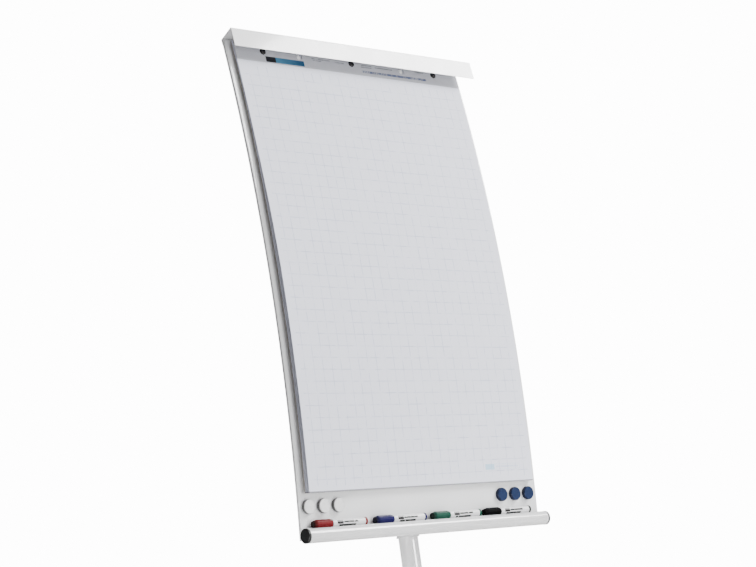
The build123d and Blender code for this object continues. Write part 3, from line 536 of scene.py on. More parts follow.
def round_corners(points, radii, steps=4):
    """A closed outline with each corner turned into an arc. A radius of 0 keeps the corner."""
    rounded = []
    count = len(points)
    for index, corner in enumerate(points):
        radius = radii[index] if isinstance(radii, (list, tuple)) else radii
        corner = Vector(corner)
        before = Vector(points[index - 1]) - corner
        after = Vector(points[(index + 1) % count]) - corner
        angle = before.angle(after)
        if radius <= 0 or angle > NEARLY_STRAIGHT:
            rounded.append(corner)
            continue
        reach = radius / math.tan(angle / 2)
        start = corner + before.normalized() * reach
        end = corner + after.normalized() * reach
        middle = (before.normalized() + after.normalized()).normalized()
        centre = corner + middle * (radius / math.sin(angle / 2))
        for step in range(steps + 1):
            share = step / steps
            way = (start - centre).slerp(end - centre, share)
            rounded.append(centre + way * radius)
    return rounded


def channel(outside, inside, steps=4, middle=0.0):
    """An open channel's outline from its right half: (x, y, rounding), from the mouth inwards."""
    left_outside = [(-x, y, rounding) for x, y, rounding in outside]
    left_inside = [(-x, y, rounding) for x, y, rounding in inside[::-1]]
    corners = left_outside + outside[::-1] + inside + left_inside
    radii = [rounding for x, y, rounding in corners]
    return round_corners([(middle + x, y) for x, y, rounding in corners], radii, steps)


def loft(mesh, rings):
    """Skins rings of the same count of points, with a face over each end."""
    grid = [[mesh.verts.new(point) for point in points] for points in rings]
    for low, high in zip(grid, grid[1:]):
        count = len(low)
        for index in range(count):
            following = (index + 1) % count
            mesh.faces.new((low[index], low[following], high[following], high[index]))
    mesh.faces.new(list(reversed(grid[0])))
    mesh.faces.new(grid[-1])


def along_board(mesh, outline, low, high, steps):
    """Sweeps an (across, forward) outline up the board."""
    rings = []
    for step in range(steps + 1):
        height = low + (high - low) * step / steps
        rings.append([on_board(point.x, height, point.y) for point in outline])
    loft(mesh, rings)


def across_board(mesh, outline, left, right, steps=1, ends=None):
    """Sweeps a (height, forward) outline across the board. ends(forward) gives a half width."""
    rings = []
    for step in range(steps + 1):
        share = step / steps
        ring = []
        for point in outline:
            across = left + (right - left) * share
            if ends:
                across = (2 * share - 1) * ends(point.y)
            ring.append(on_board(across, point.x, point.y))
        rings.append(ring)
    loft(mesh, rings)


def basis(origin, along, side=(1, 0, 0)):
    """A matrix whose z is a direction, with x near a side direction."""
    z = Vector(along).normalized()
    side = Vector(side)
    if abs(z.dot(side)) > NEARLY_ALONG:
        side = Vector((0, 1, 0))
    y = z.cross(side).normalized()
    x = y.cross(z)
    turned = Matrix((x, y, z)).transposed().to_4x4()
    return Matrix.Translation(origin) @ turned


def revolve(mesh, place, profile, segments=64, wobble=None):
    """Turns a (radius, along) profile about a place's z. Its points on the axis become poles."""
    poles = {}
    columns = []
    for segment in range(segments):
        angle = 2 * math.pi * segment / segments
        column = []
        for index, (radius, along) in enumerate(profile):
            if radius < ON_AXIS:
                if index not in poles:
                    poles[index] = mesh.verts.new(place @ Vector((0, 0, along)))
                column.append(poles[index])
                continue
            reach = radius * (wobble(angle) if wobble else 1)
            spot = Vector((reach * math.cos(angle), reach * math.sin(angle), along))
            column.append(mesh.verts.new(place @ spot))
        columns.append(column)
    count = len(profile)
    for left, right in zip(columns, columns[1:] + columns[:1]):
        for index in range(count):
            following = (index + 1) % count
            corners = [left[index], left[following], right[following], right[index]]
            corners = [c for i, c in enumerate(corners) if c is not corners[i - 1]]
            if len(corners) > 2:
                mesh.faces.new(corners)


def turned(mesh, place, corners, radii=0.0, segments=64, steps=4, wobble=None):
    """A turned solid or ring from the corners of its half section, with rounded corners."""
    revolve(mesh, place, round_corners(corners, radii, steps), segments, wobble)


def rod(mesh, place, low, high, radius, edge, segments=64, steps=4):
    """A solid round bar with rounded rims."""
    corners = [(0, low), (radius, low), (radius, high), (0, high)]
    turned(mesh, place, corners, [0, edge, edge, 0], segments, steps)


def ring(mesh, place, low, high, inner, outer, edge, segments=64, steps=4):
    """A tube or washer with rounded rims."""
    corners = [(inner, low), (outer, low), (outer, high), (inner, high)]
    turned(mesh, place, corners, edge, segments, steps)


def in_scene(name, data):
    """An object of that data, in the scene."""
    made = bpy.data.objects.new(name, data)
    bpy.context.scene.collection.objects.link(made)
    return made


def mesh_data(name, mesh):
    """A mesh's data, which frees the mesh."""
    data = bpy.data.meshes.new(name)
    mesh.to_mesh(data)
    mesh.free()
    return data


def piece(name, mesh, look, body, node=None, bevel=0.0):
    """Makes an object of a mesh, rides it on its body and hides the CAD node it stands for."""
    bmesh.ops.remove_doubles(mesh, verts=mesh.verts, dist=WELD)
    bmesh.ops.recalc_face_normals(mesh, faces=mesh.faces)
    for edge in mesh.edges:
        edge.smooth = edge.calc_face_angle(0) < SHARP_ANGLE
    data = mesh_data(name, mesh)
    data.polygons.foreach_set("use_smooth", [True] * len(data.polygons))
    data.materials.append(LOOKS[look])
    made = in_scene(name, data)
    soften(made, bevel)
    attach(made, body)
    if node:
        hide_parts(node)
    return made


def soften(made, width):
    """Rounds the sharp edges of a piece and evens its shading."""
    if width:
        edge = made.modifiers.new("edge", "BEVEL")
        edge.width = width
        edge.segments = 2
        edge.limit_method = "ANGLE"
        edge.angle_limit = BEVEL_ANGLE
        edge.use_clamp_overlap = True
    normals = made.modifiers.new("normals", "WEIGHTED_NORMAL")
    normals.keep_sharp = True


def carried(node, look, bevel):
    """Gives a CAD node its material, welded and softened edges."""
    made = NODES[node]
    made.data.materials.clear()
    made.data.materials.append(LOOKS[look])
    weld = made.modifiers.new("weld", "WELD")
    weld.merge_threshold = CAD_WELD
    soften(made, bevel)


# ---------------- board

CURVE_STEPS = 120
BOARD_FOLD = 1.9 * MM
CORE_INSET = 1.2 * MM
CORE_BACK = -5 * MM

RIB_ACROSS = 170 * MM
RIB_HALF = 20 * MM
RIB_FLANGE = 11 * MM
RIB_WALL = 1.5 * MM
RIB_FRONT = -5.1 * MM
RIB_BACK = -24 * MM
RIB_LOW = -50 * MM
RIB_HIGH = 930 * MM
RIB_STEPS = 110
RIB_FOLD = 2.4 * MM
FLANGE_FOLD = 0.8 * MM
MOUTH_FOLD = 1.4 * MM         # where a channel's inside opens at its flanges

HOOD_SHEET = 1.2 * MM
HOOD_REACH = 43.5 * MM
HOOD_RISE = 1.5 * MM         # its top slopes up by this towards the user
HOOD_FLARE = 9 * MM          # its front is wider than the board by this at each end
HOOD_FRONT_LOW = 945.5 * MM
HOOD_BACK_LOW = 975 * MM
HOOD_BACK_FOLD = 2.0 * MM
HOOD_FRONT_FOLD = 2.4 * MM


def make_board():
    """The bowed sheet with its folded lips."""
    mesh = bmesh.new()
    inner_half = BOARD_HALF - SHEET
    outside = [(BOARD_HALF, -BOARD_DEPTH, 0), (BOARD_HALF, 0, BOARD_FOLD)]
    inside = [(inner_half, -BOARD_DEPTH, 0), (inner_half, -SHEET, BOARD_FOLD - SHEET)]
    along_board(mesh, channel(outside, inside, 5), BOARD_LOW, BOARD_HIGH, CURVE_STEPS)
    for inner, outer in ((BOARD_HIGH - SHEET, BOARD_HIGH), (BOARD_LOW + SHEET, BOARD_LOW)):
        lip = [(inner, -SHEET), (inner, -BOARD_DEPTH), (outer, -BOARD_DEPTH), (outer, -SHEET)]
        across_board(mesh, [Vector(point) for point in lip], -inner_half, inner_half)
    piece("board_sheet", mesh, "board_face", "carriage", "board_panel", 0.2 * MM)


def make_core():
    """The fibreboard that fills the sheet from behind."""
    mesh = bmesh.new()
    half = BOARD_HALF - CORE_INSET
    outline = [(-half, CORE_BACK), (-half, -SHEET), (half, -SHEET), (half, CORE_BACK)]
    outline = [Vector(point) for point in outline]
    along_board(mesh, outline, BOARD_LOW + CORE_INSET, BOARD_HIGH - CORE_INSET, CURVE_STEPS)
    piece("core_panel", mesh, "fibreboard", "carriage", "board_core")


def make_ribs():
    """The two stiffening channels, with flanges that lie on the core."""
    mesh = bmesh.new()
    edge = RIB_HALF + RIB_FLANGE
    inner_half = RIB_HALF - RIB_WALL
    behind_flange = RIB_FRONT - RIB_WALL
    outside = [
        (edge, RIB_FRONT, 0),
        (edge, behind_flange, 0),
        (RIB_HALF, behind_flange, FLANGE_FOLD),
        (RIB_HALF, RIB_BACK, RIB_FOLD),
    ]
    inside = [
        (inner_half, RIB_FRONT, MOUTH_FOLD), (inner_half, RIB_BACK + RIB_WALL, RIB_FOLD - RIB_WALL),
    ]
    for middle in (-RIB_ACROSS, RIB_ACROSS):
        along_board(mesh, channel(outside, inside, 4, middle), RIB_LOW, RIB_HIGH, RIB_STEPS)
    piece("stiffening_channels", mesh, "white_lacquer", "carriage", "board_ribs", 0.2 * MM)


def make_hood():
    """The folded hood, a little wider at its front than at the board."""
    mesh = bmesh.new()
    back = -BOARD_DEPTH - GAP
    outer_back = back - HOOD_SHEET
    outer_top = BOARD_HIGH + HOOD_SHEET
    inner_reach = HOOD_REACH - HOOD_SHEET
    outline = [
        (HOOD_BACK_LOW, outer_back), (outer_top, outer_back),
        (outer_top + HOOD_RISE, HOOD_REACH), (HOOD_FRONT_LOW, HOOD_REACH),
        (HOOD_FRONT_LOW, inner_reach), (BOARD_HIGH + HOOD_RISE, inner_reach),
        (BOARD_HIGH, back), (HOOD_BACK_LOW, back),
    ]
    folds = [0, HOOD_BACK_FOLD, HOOD_FRONT_FOLD, 0, 0]
    folds += [HOOD_FRONT_FOLD - HOOD_SHEET, HOOD_BACK_FOLD - HOOD_SHEET, 0]

    def half_width(forward):
        return BOARD_HALF + HOOD_FLARE * (forward - back) / (HOOD_REACH - back)

    across_board(mesh, round_corners(outline, folds, 6), 0, 0, 40, half_width)
    piece("hood_sheet", mesh, "gloss_lacquer", "carriage", "hood", 0.25 * MM)


# ---------------- pad

PUNCH_SIDES = 28
PUNCH_MARGIN = 0.25          # no point lies nearer to a hole than this share of a step
INSIDE_PUNCH = 0.995
SAME_POINT = 1e-6
SEEN_PAGE_STEP = 18 * MM
HIDDEN_PAGE_STEP = 32 * MM
BACKING_STEP = 30 * MM
HEADER_STEP = 16 * MM
PAGE_COUNT = 14
PAGE_THICKNESS = 0.2 * MM
PAGE_SIDEWAYS = 0.5          # how far pages stray sideways and upwards, in millimetres
PAGE_SHORT = 1.2
PAGE_TOP = PAD_HIGH - 1.2 * MM
HEADER_FOLD_FOOT = PAD_HIGH - 1.3 * MM
HEADER_FOLD = 0.9 * MM
FAN_TOP = 850 * MM
FAN_HEIGHT = 430 * MM
FAN_RIGHT = 60 * MM
FAN_WIDTH = 385 * MM
FAN_LIFT = 6.5 * MM
COCKLE = 0.7 * MM
COCKLES_PER_METRE = (4.5, 3.2)
COCKLE_CHANGE = 0.4          # from the back page to the front one
HANG_HEIGHT = 160 * MM
HANG_LIFT = 0.4 * MM


def sheet_border(left, right, low, high, step):
    """A rectangle's outline and a grid of points inside it, about a step apart."""
    columns = max(2, round((right - left) / step))
    rows = max(2, round((high - low) / step))
    xs = [left + (right - left) * i / columns for i in range(columns + 1)]
    ys = [low + (high - low) * i / rows for i in range(rows + 1)]
    border = [Vector((x, low)) for x in xs]
    border += [Vector((right, y)) for y in ys[1:]]
    border += [Vector((x, high)) for x in reversed(xs[:-1])]
    border += [Vector((left, y)) for y in reversed(ys[1:-1])]
    return border, [Vector((x, y)) for x in xs[1:-1] for y in ys[1:-1]]


def punched_sheet(mesh, left, right, low, high, step, back, front, lift=None):
    """A curved sheet with the pad's holes. lift(across, height) stands it off its flat place."""
    punches = [Vector((across, PIN_HEIGHT)) for across in PUNCHES]
    points = []
    edges = []

    def add_loop(loop):
        start = len(points)
        points.extend(loop)
        edges.extend((start + i, start + (i + 1) % len(loop)) for i in range(len(loop)))

    def clear_of_punches(spot, radius):
        return all((spot - punch).length > radius for punch in punches)

    border, middle = sheet_border(left, right, low, high, step)
    add_loop(border)
    turns = [2 * math.pi * i / PUNCH_SIDES for i in range(PUNCH_SIDES)]
    for punch in punches:
        add_loop([punch + PUNCH_RADIUS * Vector((math.cos(a), math.sin(a))) for a in turns])
    clear = PUNCH_RADIUS + PUNCH_MARGIN * step
    points.extend(spot for spot in middle if clear_of_punches(spot, clear))
    flat, _, faces, *_ = delaunay_2d_cdt(points, edges, [], 0, SAME_POINT)
    kept = []
    for face in faces:
        centre = sum((flat[i] for i in face), Vector((0, 0))) / len(face)
        if clear_of_punches(centre, PUNCH_RADIUS * INSIDE_PUNCH):
            kept.append(face)
    lifts = [lift(p.x, p.y) if lift else 0.0 for p in flat]
    backs = [mesh.verts.new(on_board(p.x, p.y, back + up)) for p, up in zip(flat, lifts)]
    fronts = [mesh.verts.new(on_board(p.x, p.y, front + up)) for p, up in zip(flat, lifts)]
    rim = {}
    for face in kept:
        mesh.faces.new([fronts[i] for i in face])
        mesh.faces.new([backs[i] for i in reversed(face)])
        for a, b in zip(face, face[1:] + face[:1]):
            key = (min(a, b), max(a, b))
            rim[key] = None if key in rim else (a, b)
    for a, b in filter(None, rim.values()):
        mesh.faces.new((fronts[b], fronts[a], backs[a], backs[b]))
    used = {i for face in kept for i in face}
    for index in range(len(flat)):
        if index not in used:
            mesh.verts.remove(backs[index])
            mesh.verts.remove(fronts[index])


def page_lift(share, across, height):
    """How far a page stands off its flat place: the left margin fans out below, and it cockles."""
    fan = held((FAN_TOP - height) / FAN_HEIGHT)
    fan = fan * fan * (3 - 2 * fan)
    margin = held((FAN_RIGHT - across) / FAN_WIDTH)
    sideways, upwards = COCKLES_PER_METRE
    wave = noise.noise(Vector((across * sideways, height * upwards, share * COCKLE_CHANGE)))
    hang = held((HEADER_LOW - height) / HANG_HEIGHT)
    return share * (FAN_LIFT * fan * margin ** 3 + (wave * COCKLE + HANG_LIFT) * hang)


def make_pages():
    """A stack of loose pages whose edges don't quite line up."""
    mesh = bmesh.new()
    shuffle = random.Random(7)
    front_page = PAGE_COUNT - 1
    pitch = (PAGES_FRONT - BACKING_FRONT - PAGE_THICKNESS) / front_page
    for number in range(PAGE_COUNT):
        back = BACKING_FRONT + number * pitch
        shift = shuffle.uniform(-PAGE_SIDEWAYS, PAGE_SIDEWAYS) * MM if number < front_page else 0.0
        short = shuffle.uniform(0.0, PAGE_SHORT) * MM if number < front_page else 0.0
        punched_sheet(
            mesh,
            -PAD_HALF + shift,
            PAD_HALF + shift,
            short,
            PAGE_TOP,
            SEEN_PAGE_STEP if number in (0, front_page) else HIDDEN_PAGE_STEP,
            back,
            back + PAGE_THICKNESS,
            partial(page_lift, number / front_page),
        )
    piece("pad_pages", mesh, "pad_paper", "carriage", "pad_sheets")


def make_backing():
    """The stiff board behind the pages."""
    mesh = bmesh.new()
    front = BACKING_FRONT - GAP
    punched_sheet(mesh, -PAD_HALF, PAD_HALF, 0, PAGE_TOP, BACKING_STEP, PAD_BACK, front)
    piece("pad_back_board", mesh, "brown_card", "carriage", "pad_backing")


def make_header():
    """The printed band over the pad's top, folded to the back."""
    mesh = bmesh.new()
    foot = HEADER_FOLD_FOOT
    back = PAGES_FRONT + GAP
    punched_sheet(
        mesh, -PAD_HALF, PAD_HALF, HEADER_LOW, foot, HEADER_STEP, back, HEADER_FRONT
    )
    fold = [(foot, PAD_BACK), (PAD_HIGH, PAD_BACK), (PAD_HIGH, HEADER_FRONT), (foot, HEADER_FRONT)]
    across_board(mesh, round_corners(fold, [0, HEADER_FOLD, HEADER_FOLD, 0]), -PAD_HALF, PAD_HALF, 8)
    piece("header_card", mesh, "grey_card", "carriage", "pad_header")


# Half sections are (radius, place along the axis) in millimetres, with a rounding for each corner

PIN_SECTION = in_mm([
    (0, -13), (4, -13), (4, 0.1), (9, 0.1), (9, 3.4), (7.2, 3.4), (7.2, 13.2), (4.6, 15), (0, 15),
])
PIN_ROUNDING = in_mm([0, 0.6, 0.3, 0.5, 0.6, 0.3, 1.4, 1.6, 0])
NUT_SECTION = in_mm([(4.02, -12.2), (8.4, -12.2), (8.4, -5.3), (4.02, -5.3)])
NUT_ROUNDING = in_mm([0, 1.2, 0.6, 0])
STUD_SECTION = in_mm([(0, 0.05), (6.6, 0.05), (6.6, 8.6), (4.8, 10.6), (0, 11.2)])
STUD_ROUNDING = in_mm([0, 0.2, 1.2, 1.6, 0])
STUD_HEIGHT = PIN_HEIGHT - 1.2 * MM
FLUTES = 12
FLUTE_DEPTH = 0.06


def fluted(angle):
    """A nut's radius at an angle, as a share."""
    return 1 - FLUTE_DEPTH * (0.5 + 0.5 * math.cos(FLUTES * angle))


def make_pins():
    """Mushroom pins with a collar behind the pad, ribbed nuts behind the board, and white studs."""
    pins = bmesh.new()
    nuts = bmesh.new()
    studs = bmesh.new()
    for across in PUNCHES[::2]:
        place = basis(on_board(across, PIN_HEIGHT, 0), board_normal(PIN_HEIGHT))
        turned(pins, place, PIN_SECTION, PIN_ROUNDING, 48)
        turned(nuts, place, NUT_SECTION, NUT_ROUNDING, 72, 4, fluted)
    for across in PUNCHES[1::2]:
        place = basis(on_board(across, STUD_HEIGHT, 0), board_normal(STUD_HEIGHT))
        turned(studs, place, STUD_SECTION, STUD_ROUNDING, 48)
    piece("hole_studs", studs, "gloss_lacquer", "carriage")
    piece("hanging_pins", pins, "black_plastic", "carriage", "pad_pins")
    piece("pin_nuts", nuts, "black_plastic", "carriage", "pad_pin_nuts")


# ---------------- tray

RAIL_WALL = 1.5 * MM
LEFT_CAP_END = -349.5 * MM
RIGHT_CAP_END = 342.0 * MM
CAP_THICKNESS = 6 * MM
CAP_OVERLAP = 0.35 * MM      # a cap's radius is larger than the rail's by this
CAP_PLUG = 12 * MM
CAP_PLUG_RADIUS = RAIL_RADIUS - 1.6 * MM


def rail_place(across, side):
    """A place on the rail's axis, with z to that side."""
    return basis(on_board(across, RAIL_HEIGHT, RAIL_FORWARD), (side, 0, 0), (0, 0, 1))


def make_rail():
    """The round rail, its end caps and the saddles that hold it."""
    left = LEFT_CAP_END + CAP_THICKNESS
    right = RIGHT_CAP_END - CAP_THICKNESS
    rail = bmesh.new()
    ring(rail, rail_place(0, 1), left, right, RAIL_RADIUS - RAIL_WALL, RAIL_RADIUS, 0.4 * MM, 96)
    piece("rail", rail, "rail_lacquer", "carriage", "rail_tube")
    caps = bmesh.new()
    radius = RAIL_RADIUS + CAP_OVERLAP
    section = [
        (0, -CAP_PLUG), (CAP_PLUG_RADIUS, -CAP_PLUG), (CAP_PLUG_RADIUS, GAP), (radius, GAP),
        (radius, CAP_THICKNESS - 1 * MM), (RAIL_RADIUS - 1.4 * MM, CAP_THICKNESS),
        (0, CAP_THICKNESS),
    ]
    rounding = in_mm([0, 0.6, 0, 0.3, 0.8, 0.8, 0])
    for side, end in ((-1, left), (1, right)):
        turned(caps, rail_place(end, side), section, rounding, 72)
    piece("rail_end_caps", caps, "black_plastic", "carriage", "rail_caps")
    carried("rail_saddles", "black_plastic", 0.4 * MM)


MARKER_SIDES = 64
NIB_AND_NECK = in_mm([(0, 14), (1.2, 14), (2.5, 22), (5.2, 25), (6.3, 36)])
SPIGOT_RADIUS = 6.3 * MM     # the part of a barrel inside its cap
BARREL_RADIUS = 8.1 * MM
BARREL_END_RADIUS = 8.2 * MM
BARREL_ROUNDING = in_mm([0, 0.5, 0.5, 0.8, 1, 0, 0.5, 0, 0])
BARREL_SHORT = 6.2 * MM      # a barrel ends this far before its plug's end
PLUG_SECTION = in_mm([(0, -6.3), (8.4, -6.3), (8.4, -1.2), (7.9, -0.2), (6.9, 0), (0, 0)])
PLUG_ROUNDING = in_mm([0, 0.2, 0.4, 0.6, 0.4, 0])
# A cap's rings as (radius, place along) in millimetres
CAP_LENGTH = 49.0
CAP_OUTSIDE = (
    (6.2, 0), (7.0, 0.5), (9.2, 7.5), (9.5, 8.8), (9.5, 43), (9.3, 44.2), (7.9, 48.4), (7.6, 49),
)
CAP_INSIDE = ((6.9, 49), (6.6, 15))
EIGHTH = math.pi / 4
# Painted shade at a cap's end: gone above the first place along it, full below the second
CAP_PAINTED_SHADE = in_mm([9.5, 4])


def make_barrel(colour, place, cap_length, length):
    """A marker's barrel with its neck and nib."""
    shoulder = cap_length + 0.1 * MM
    end = length - BARREL_SHORT
    section = NIB_AND_NECK + [
        (SPIGOT_RADIUS, shoulder), (BARREL_RADIUS, shoulder), (BARREL_END_RADIUS, end), (0, end),
    ]
    mesh = bmesh.new()
    turned(mesh, place, section, BARREL_ROUNDING, MARKER_SIDES)
    node = f"{colour}_marker_barrel"
    made = piece(f"{colour}_barrel", mesh, "marker_white", f"{colour}_marker", node)
    lay_label(made, place)


def make_plug(colour, place, length):
    """The coloured ring at a barrel's end."""
    section = [(radius, length + along) for radius, along in PLUG_SECTION]
    mesh = bmesh.new()
    turned(mesh, place, section, PLUG_ROUNDING, MARKER_SIDES)
    piece(f"{colour}_end_plug", mesh, f"ink_{colour}", f"{colour}_marker")


def make_cap(colour, place, cap_length):
    """A marker's cap: eight flats outside, and round inside."""
    rings = []
    for radius, along in CAP_OUTSIDE + CAP_INSIDE:
        points = []
        for step in range(MARKER_SIDES):
            angle = 2 * math.pi * (step + 0.5) / MARKER_SIDES
            octagon = math.cos(EIGHTH / 2) / math.cos(angle % EIGHTH - EIGHTH / 2)
            reach = radius * MM * (1.0 if (radius, along) in CAP_INSIDE else octagon)
            up = along / CAP_LENGTH * cap_length
            points.append(place @ Vector((reach * math.cos(angle), reach * math.sin(angle), up)))
        rings.append(points)
    mesh = bmesh.new()
    loft(mesh, rings)
    node = f"{colour}_marker_cap"
    made = piece(f"{colour}_cap", mesh, f"ink_{colour}", f"{colour}_marker", node, 0.35 * MM)
    lay_painted_shade(made, place, *CAP_PAINTED_SHADE)


def make_markers():
    """Four markers, each in the place of its CAD cap and barrel."""
    for colour in MARKER_COLOURS:
        low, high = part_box(f"{colour}_marker_cap")
        centre = (low + high) / 2
        place = basis(Vector((low.x, centre.y, centre.z)), (1, 0, 0), (0, -1, 0))
        cap_length = high.x - low.x
        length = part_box(f"{colour}_marker_barrel")[1].x - low.x
        make_barrel(colour, place, cap_length, length)
        make_plug(colour, place, length)
        make_cap(colour, place, cap_length)


def lay_painted_shade(made, place, clear, full):
    """Marks the points below a height in a place, where a look turns to its painted shade."""
    inverse = place.inverted()
    painted_shade = made.data.attributes.new("painted_shade", "FLOAT", "POINT")
    for index, vertex in enumerate(made.data.vertices):
        painted_shade.data[index].value = held((clear - (inverse @ vertex.co).z) / (clear - full))


def lay_label(made, place):
    """Writes each point's place along and around a marker, for its bars of print."""
    inverse = place.inverted()
    along = made.data.attributes.new("along", "FLOAT", "POINT")
    around = made.data.attributes.new("around", "FLOAT", "POINT")
    for index, vertex in enumerate(made.data.vertices):
        spot = inverse @ vertex.co
        along.data[index].value = spot.z
        around.data[index].value = math.degrees(math.atan2(spot.y, spot.x))


MAGNET_HEIGHT = -27 * MM
MAGNET_SECTION = in_mm([
    (0, 0.1), (14.2, 0.1), (15.0, 1.2), (14.8, 6.8), (13.6, 9.0), (12.6, 9.0), (12.3, 8.5), (0, 8.5),
])
MAGNET_ROUNDING = in_mm([0, 0.4, 0.6, 1.2, 0.7, 0.3, 0.2, 0])
# Painted shade on a magnet's flank: gone above the first height, full below the second
MAGNET_PAINTED_SHADE = in_mm([7.5, 7.3])


def make_magnets():
    """Round magnets: a flat face with a rolled rim, on a flank painted with shade."""
    for name in MAGNETS:
        low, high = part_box(name)
        middle = on_board((low.x + high.x) / 2, MAGNET_HEIGHT, 0)
        place = basis(middle, board_normal(MAGNET_HEIGHT))
        look = "magnet_" + name.split("_")[0]
        mesh = bmesh.new()
        turned(mesh, place, MAGNET_SECTION, MAGNET_ROUNDING, 72)
        made = piece(f"{name}_round", mesh, look, f"{name}_body", name)
        lay_painted_shade(made, place, *MAGNET_PAINTED_SHADE)


# ---------------- mast and carriage

# Places along the mast are from MAST_POINT, 5 mm below the lower bush
MAST_LOW = -731 * MM
MAST_HIGH = 735 * MM
MAST_RADII = in_mm([19.2, 21.2])
MAST_CAP_SECTION = in_mm([
    (0, 716), (19.0, 716), (19.0, 735.1), (21.2, 735.1), (21.2, 737), (17, 739), (0, 739),
])
MAST_CAP_ROUNDING = in_mm([0, 0.5, 0, 0.3, 1.2, 2, 0])
SLEEVE_LOW = 8 * MM
SLEEVE_HIGH = 560 * MM
SLEEVE_RADII = in_mm([22.15, 24.15])
BUSH_HEIGHT = 3 * MM
BUSH_RADII = in_mm([21.25, 25.05])
# The boss for the clamp's stud and its weld bead, along the knob's axis
BOSS_REACH = in_mm([22.4, 36.1])
BOSS_RADII = in_mm([4.05, 11])
BEAD_REACH = in_mm([23.2, 25.4])
BEAD_RADII = in_mm([10.8, 13.2])
KNOB_SECTION = in_mm([
    (4.02, 38), (14, 38), (22.5, 42), (23.5, 50), (21, 57), (12, 58), (9.5, 57), (0, 57),
    (0, 53.4), (4.02, 53.4),
])
KNOB_ROUNDING = in_mm([0, 2, 3, 3, 3, 1, 0.8, 0, 0, 0])
KNOB_LOBES = 5
LOBE_DEPTH = 0.13
TUBE_SIDES = 96


def make_mast(mast):
    """Mast tube, its cap, and its socket on the hub with the screws."""
    tube = bmesh.new()
    ring(tube, mast, MAST_LOW, MAST_HIGH, *MAST_RADII, 0.3 * MM, TUBE_SIDES)
    piece("mast", tube, "tube_lacquer", "base", "mast_tube")
    cap = bmesh.new()
    turned(cap, mast, MAST_CAP_SECTION, MAST_CAP_ROUNDING, 72)
    piece("mast_cap", cap, "black_plastic", "base", "mast_top_cap")
    carried("mast_socket", "base_lacquer", 0.8 * MM)
    carried("mast_screws", "zinc_steel", 0.3 * MM)


def make_carriage(mast):
    """The sleeve on the mast with its clamp's boss, the bushes and what holds the board."""
    knob_place = basis(MAST_POINT + KNOB_PLACE * MAST_UP, KNOB_OUT)
    sleeve = bmesh.new()
    ring(sleeve, mast, SLEEVE_LOW, SLEEVE_HIGH, *SLEEVE_RADII, 0.35 * MM, TUBE_SIDES)
    ring(sleeve, knob_place, *BOSS_REACH, *BOSS_RADII, 0.8 * MM, 48)
    ring(sleeve, knob_place, *BEAD_REACH, *BEAD_RADII, 1.0 * MM, 48)
    piece("sleeve", sleeve, "tube_lacquer", "carriage", "carriage_sleeve")
    for name, low in (("lower_bush", SLEEVE_LOW - BUSH_HEIGHT), ("upper_bush", SLEEVE_HIGH)):
        bush = bmesh.new()
        ring(bush, mast, low, low + BUSH_HEIGHT, *BUSH_RADII, 0.7 * MM, TUBE_SIDES)
        piece(f"{name}_ring", bush, "bush_plastic", "carriage", name)
    carried("lower_bracket", "white_lacquer", 0.8 * MM)
    carried("upper_bracket", "white_lacquer", 0.8 * MM)
    carried("clamp_shoe", "brass", 0.1 * MM)
    carried("board_screws", "zinc_steel", 0.3 * MM)
    carried("clamp_stud", "zinc_steel", 0.2 * MM)
    knob = bmesh.new()
    turned(knob, knob_place, KNOB_SECTION, KNOB_ROUNDING, 120, 5, lobed)
    piece("star_knob", knob, "black_plastic", "height_clamp", "height_knob")


def lobed(angle):
    """The star knob's radius at an angle, as a share."""
    return 1 + LOBE_DEPTH * math.cos(KNOB_LOBES * angle)


# ---------------- base

HUB_ROUNDING = in_mm([0, 2, 2, 5, 6, 4, 0])
ARM_START = 50 * MM          # from the hub's axis
ARM_SHORT = 12 * MM          # an arm ends this far before its castor's axis
ARM_STEPS = 12
ARM_BOTTOM = 64 * MM
ARM_WALL = 2.5 * MM
ARM_FOLD = 6 * MM
SOCKET_HEIGHTS = in_mm([62, 92])
SOCKET_RADII = in_mm([5.6, 17])
SOCKET_CAP_HEIGHTS = in_mm([92.05, 96])
SOCKET_CAP_EDGE = 2.5 * MM
WHEEL_SECTION = in_mm([
    (4.06, 7.2), (20, 7.2), (24.2, 7.6), (25, 10), (25, 22.5), (24, 25), (21.5, 25.4),
    (19.5, 23.6), (9, 22.6), (8, 25.2), (4.06, 25.2),
])
WHEEL_ROUNDING = in_mm([0.2, 1, 0.8, 1.5, 1.5, 0.8, 0.8, 1.2, 1, 1.2, 0])


def make_hub():
    """The round hub in the middle. Gives the place of its axis on the floor."""
    low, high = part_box("base_hub")
    place = basis(Vector((0, (low.y + high.y) / 2, 0)), (0, 0, 1))
    section = [
        (0, low.z), (55 * MM, low.z), (58 * MM, low.z + 4 * MM), (58 * MM, high.z - 12 * MM),
        (50 * MM, high.z - 3 * MM), (34 * MM, high.z), (0, high.z),
    ]
    mesh = bmesh.new()
    turned(mesh, place, section, HUB_ROUNDING, 96, 6)
    piece("hub", mesh, "base_lacquer", "base", "base_hub")
    return place.translation


def arm_section(share):
    """An arm's section that share of the way out, as (sideways, up): narrower and lower outwards."""
    swell = math.sin(math.pi * share)
    half = (22 - 8 * share - 2.5 * swell) * MM
    top = (94 - 8 * share + 1.5 * swell) * MM
    inner_half = half - ARM_WALL
    outside = [(half, ARM_BOTTOM, 0), (half, top, ARM_FOLD)]
    inside = [(inner_half, ARM_BOTTOM, 0), (inner_half, top - ARM_WALL, ARM_FOLD - ARM_WALL)]
    return channel(outside, inside, 5)


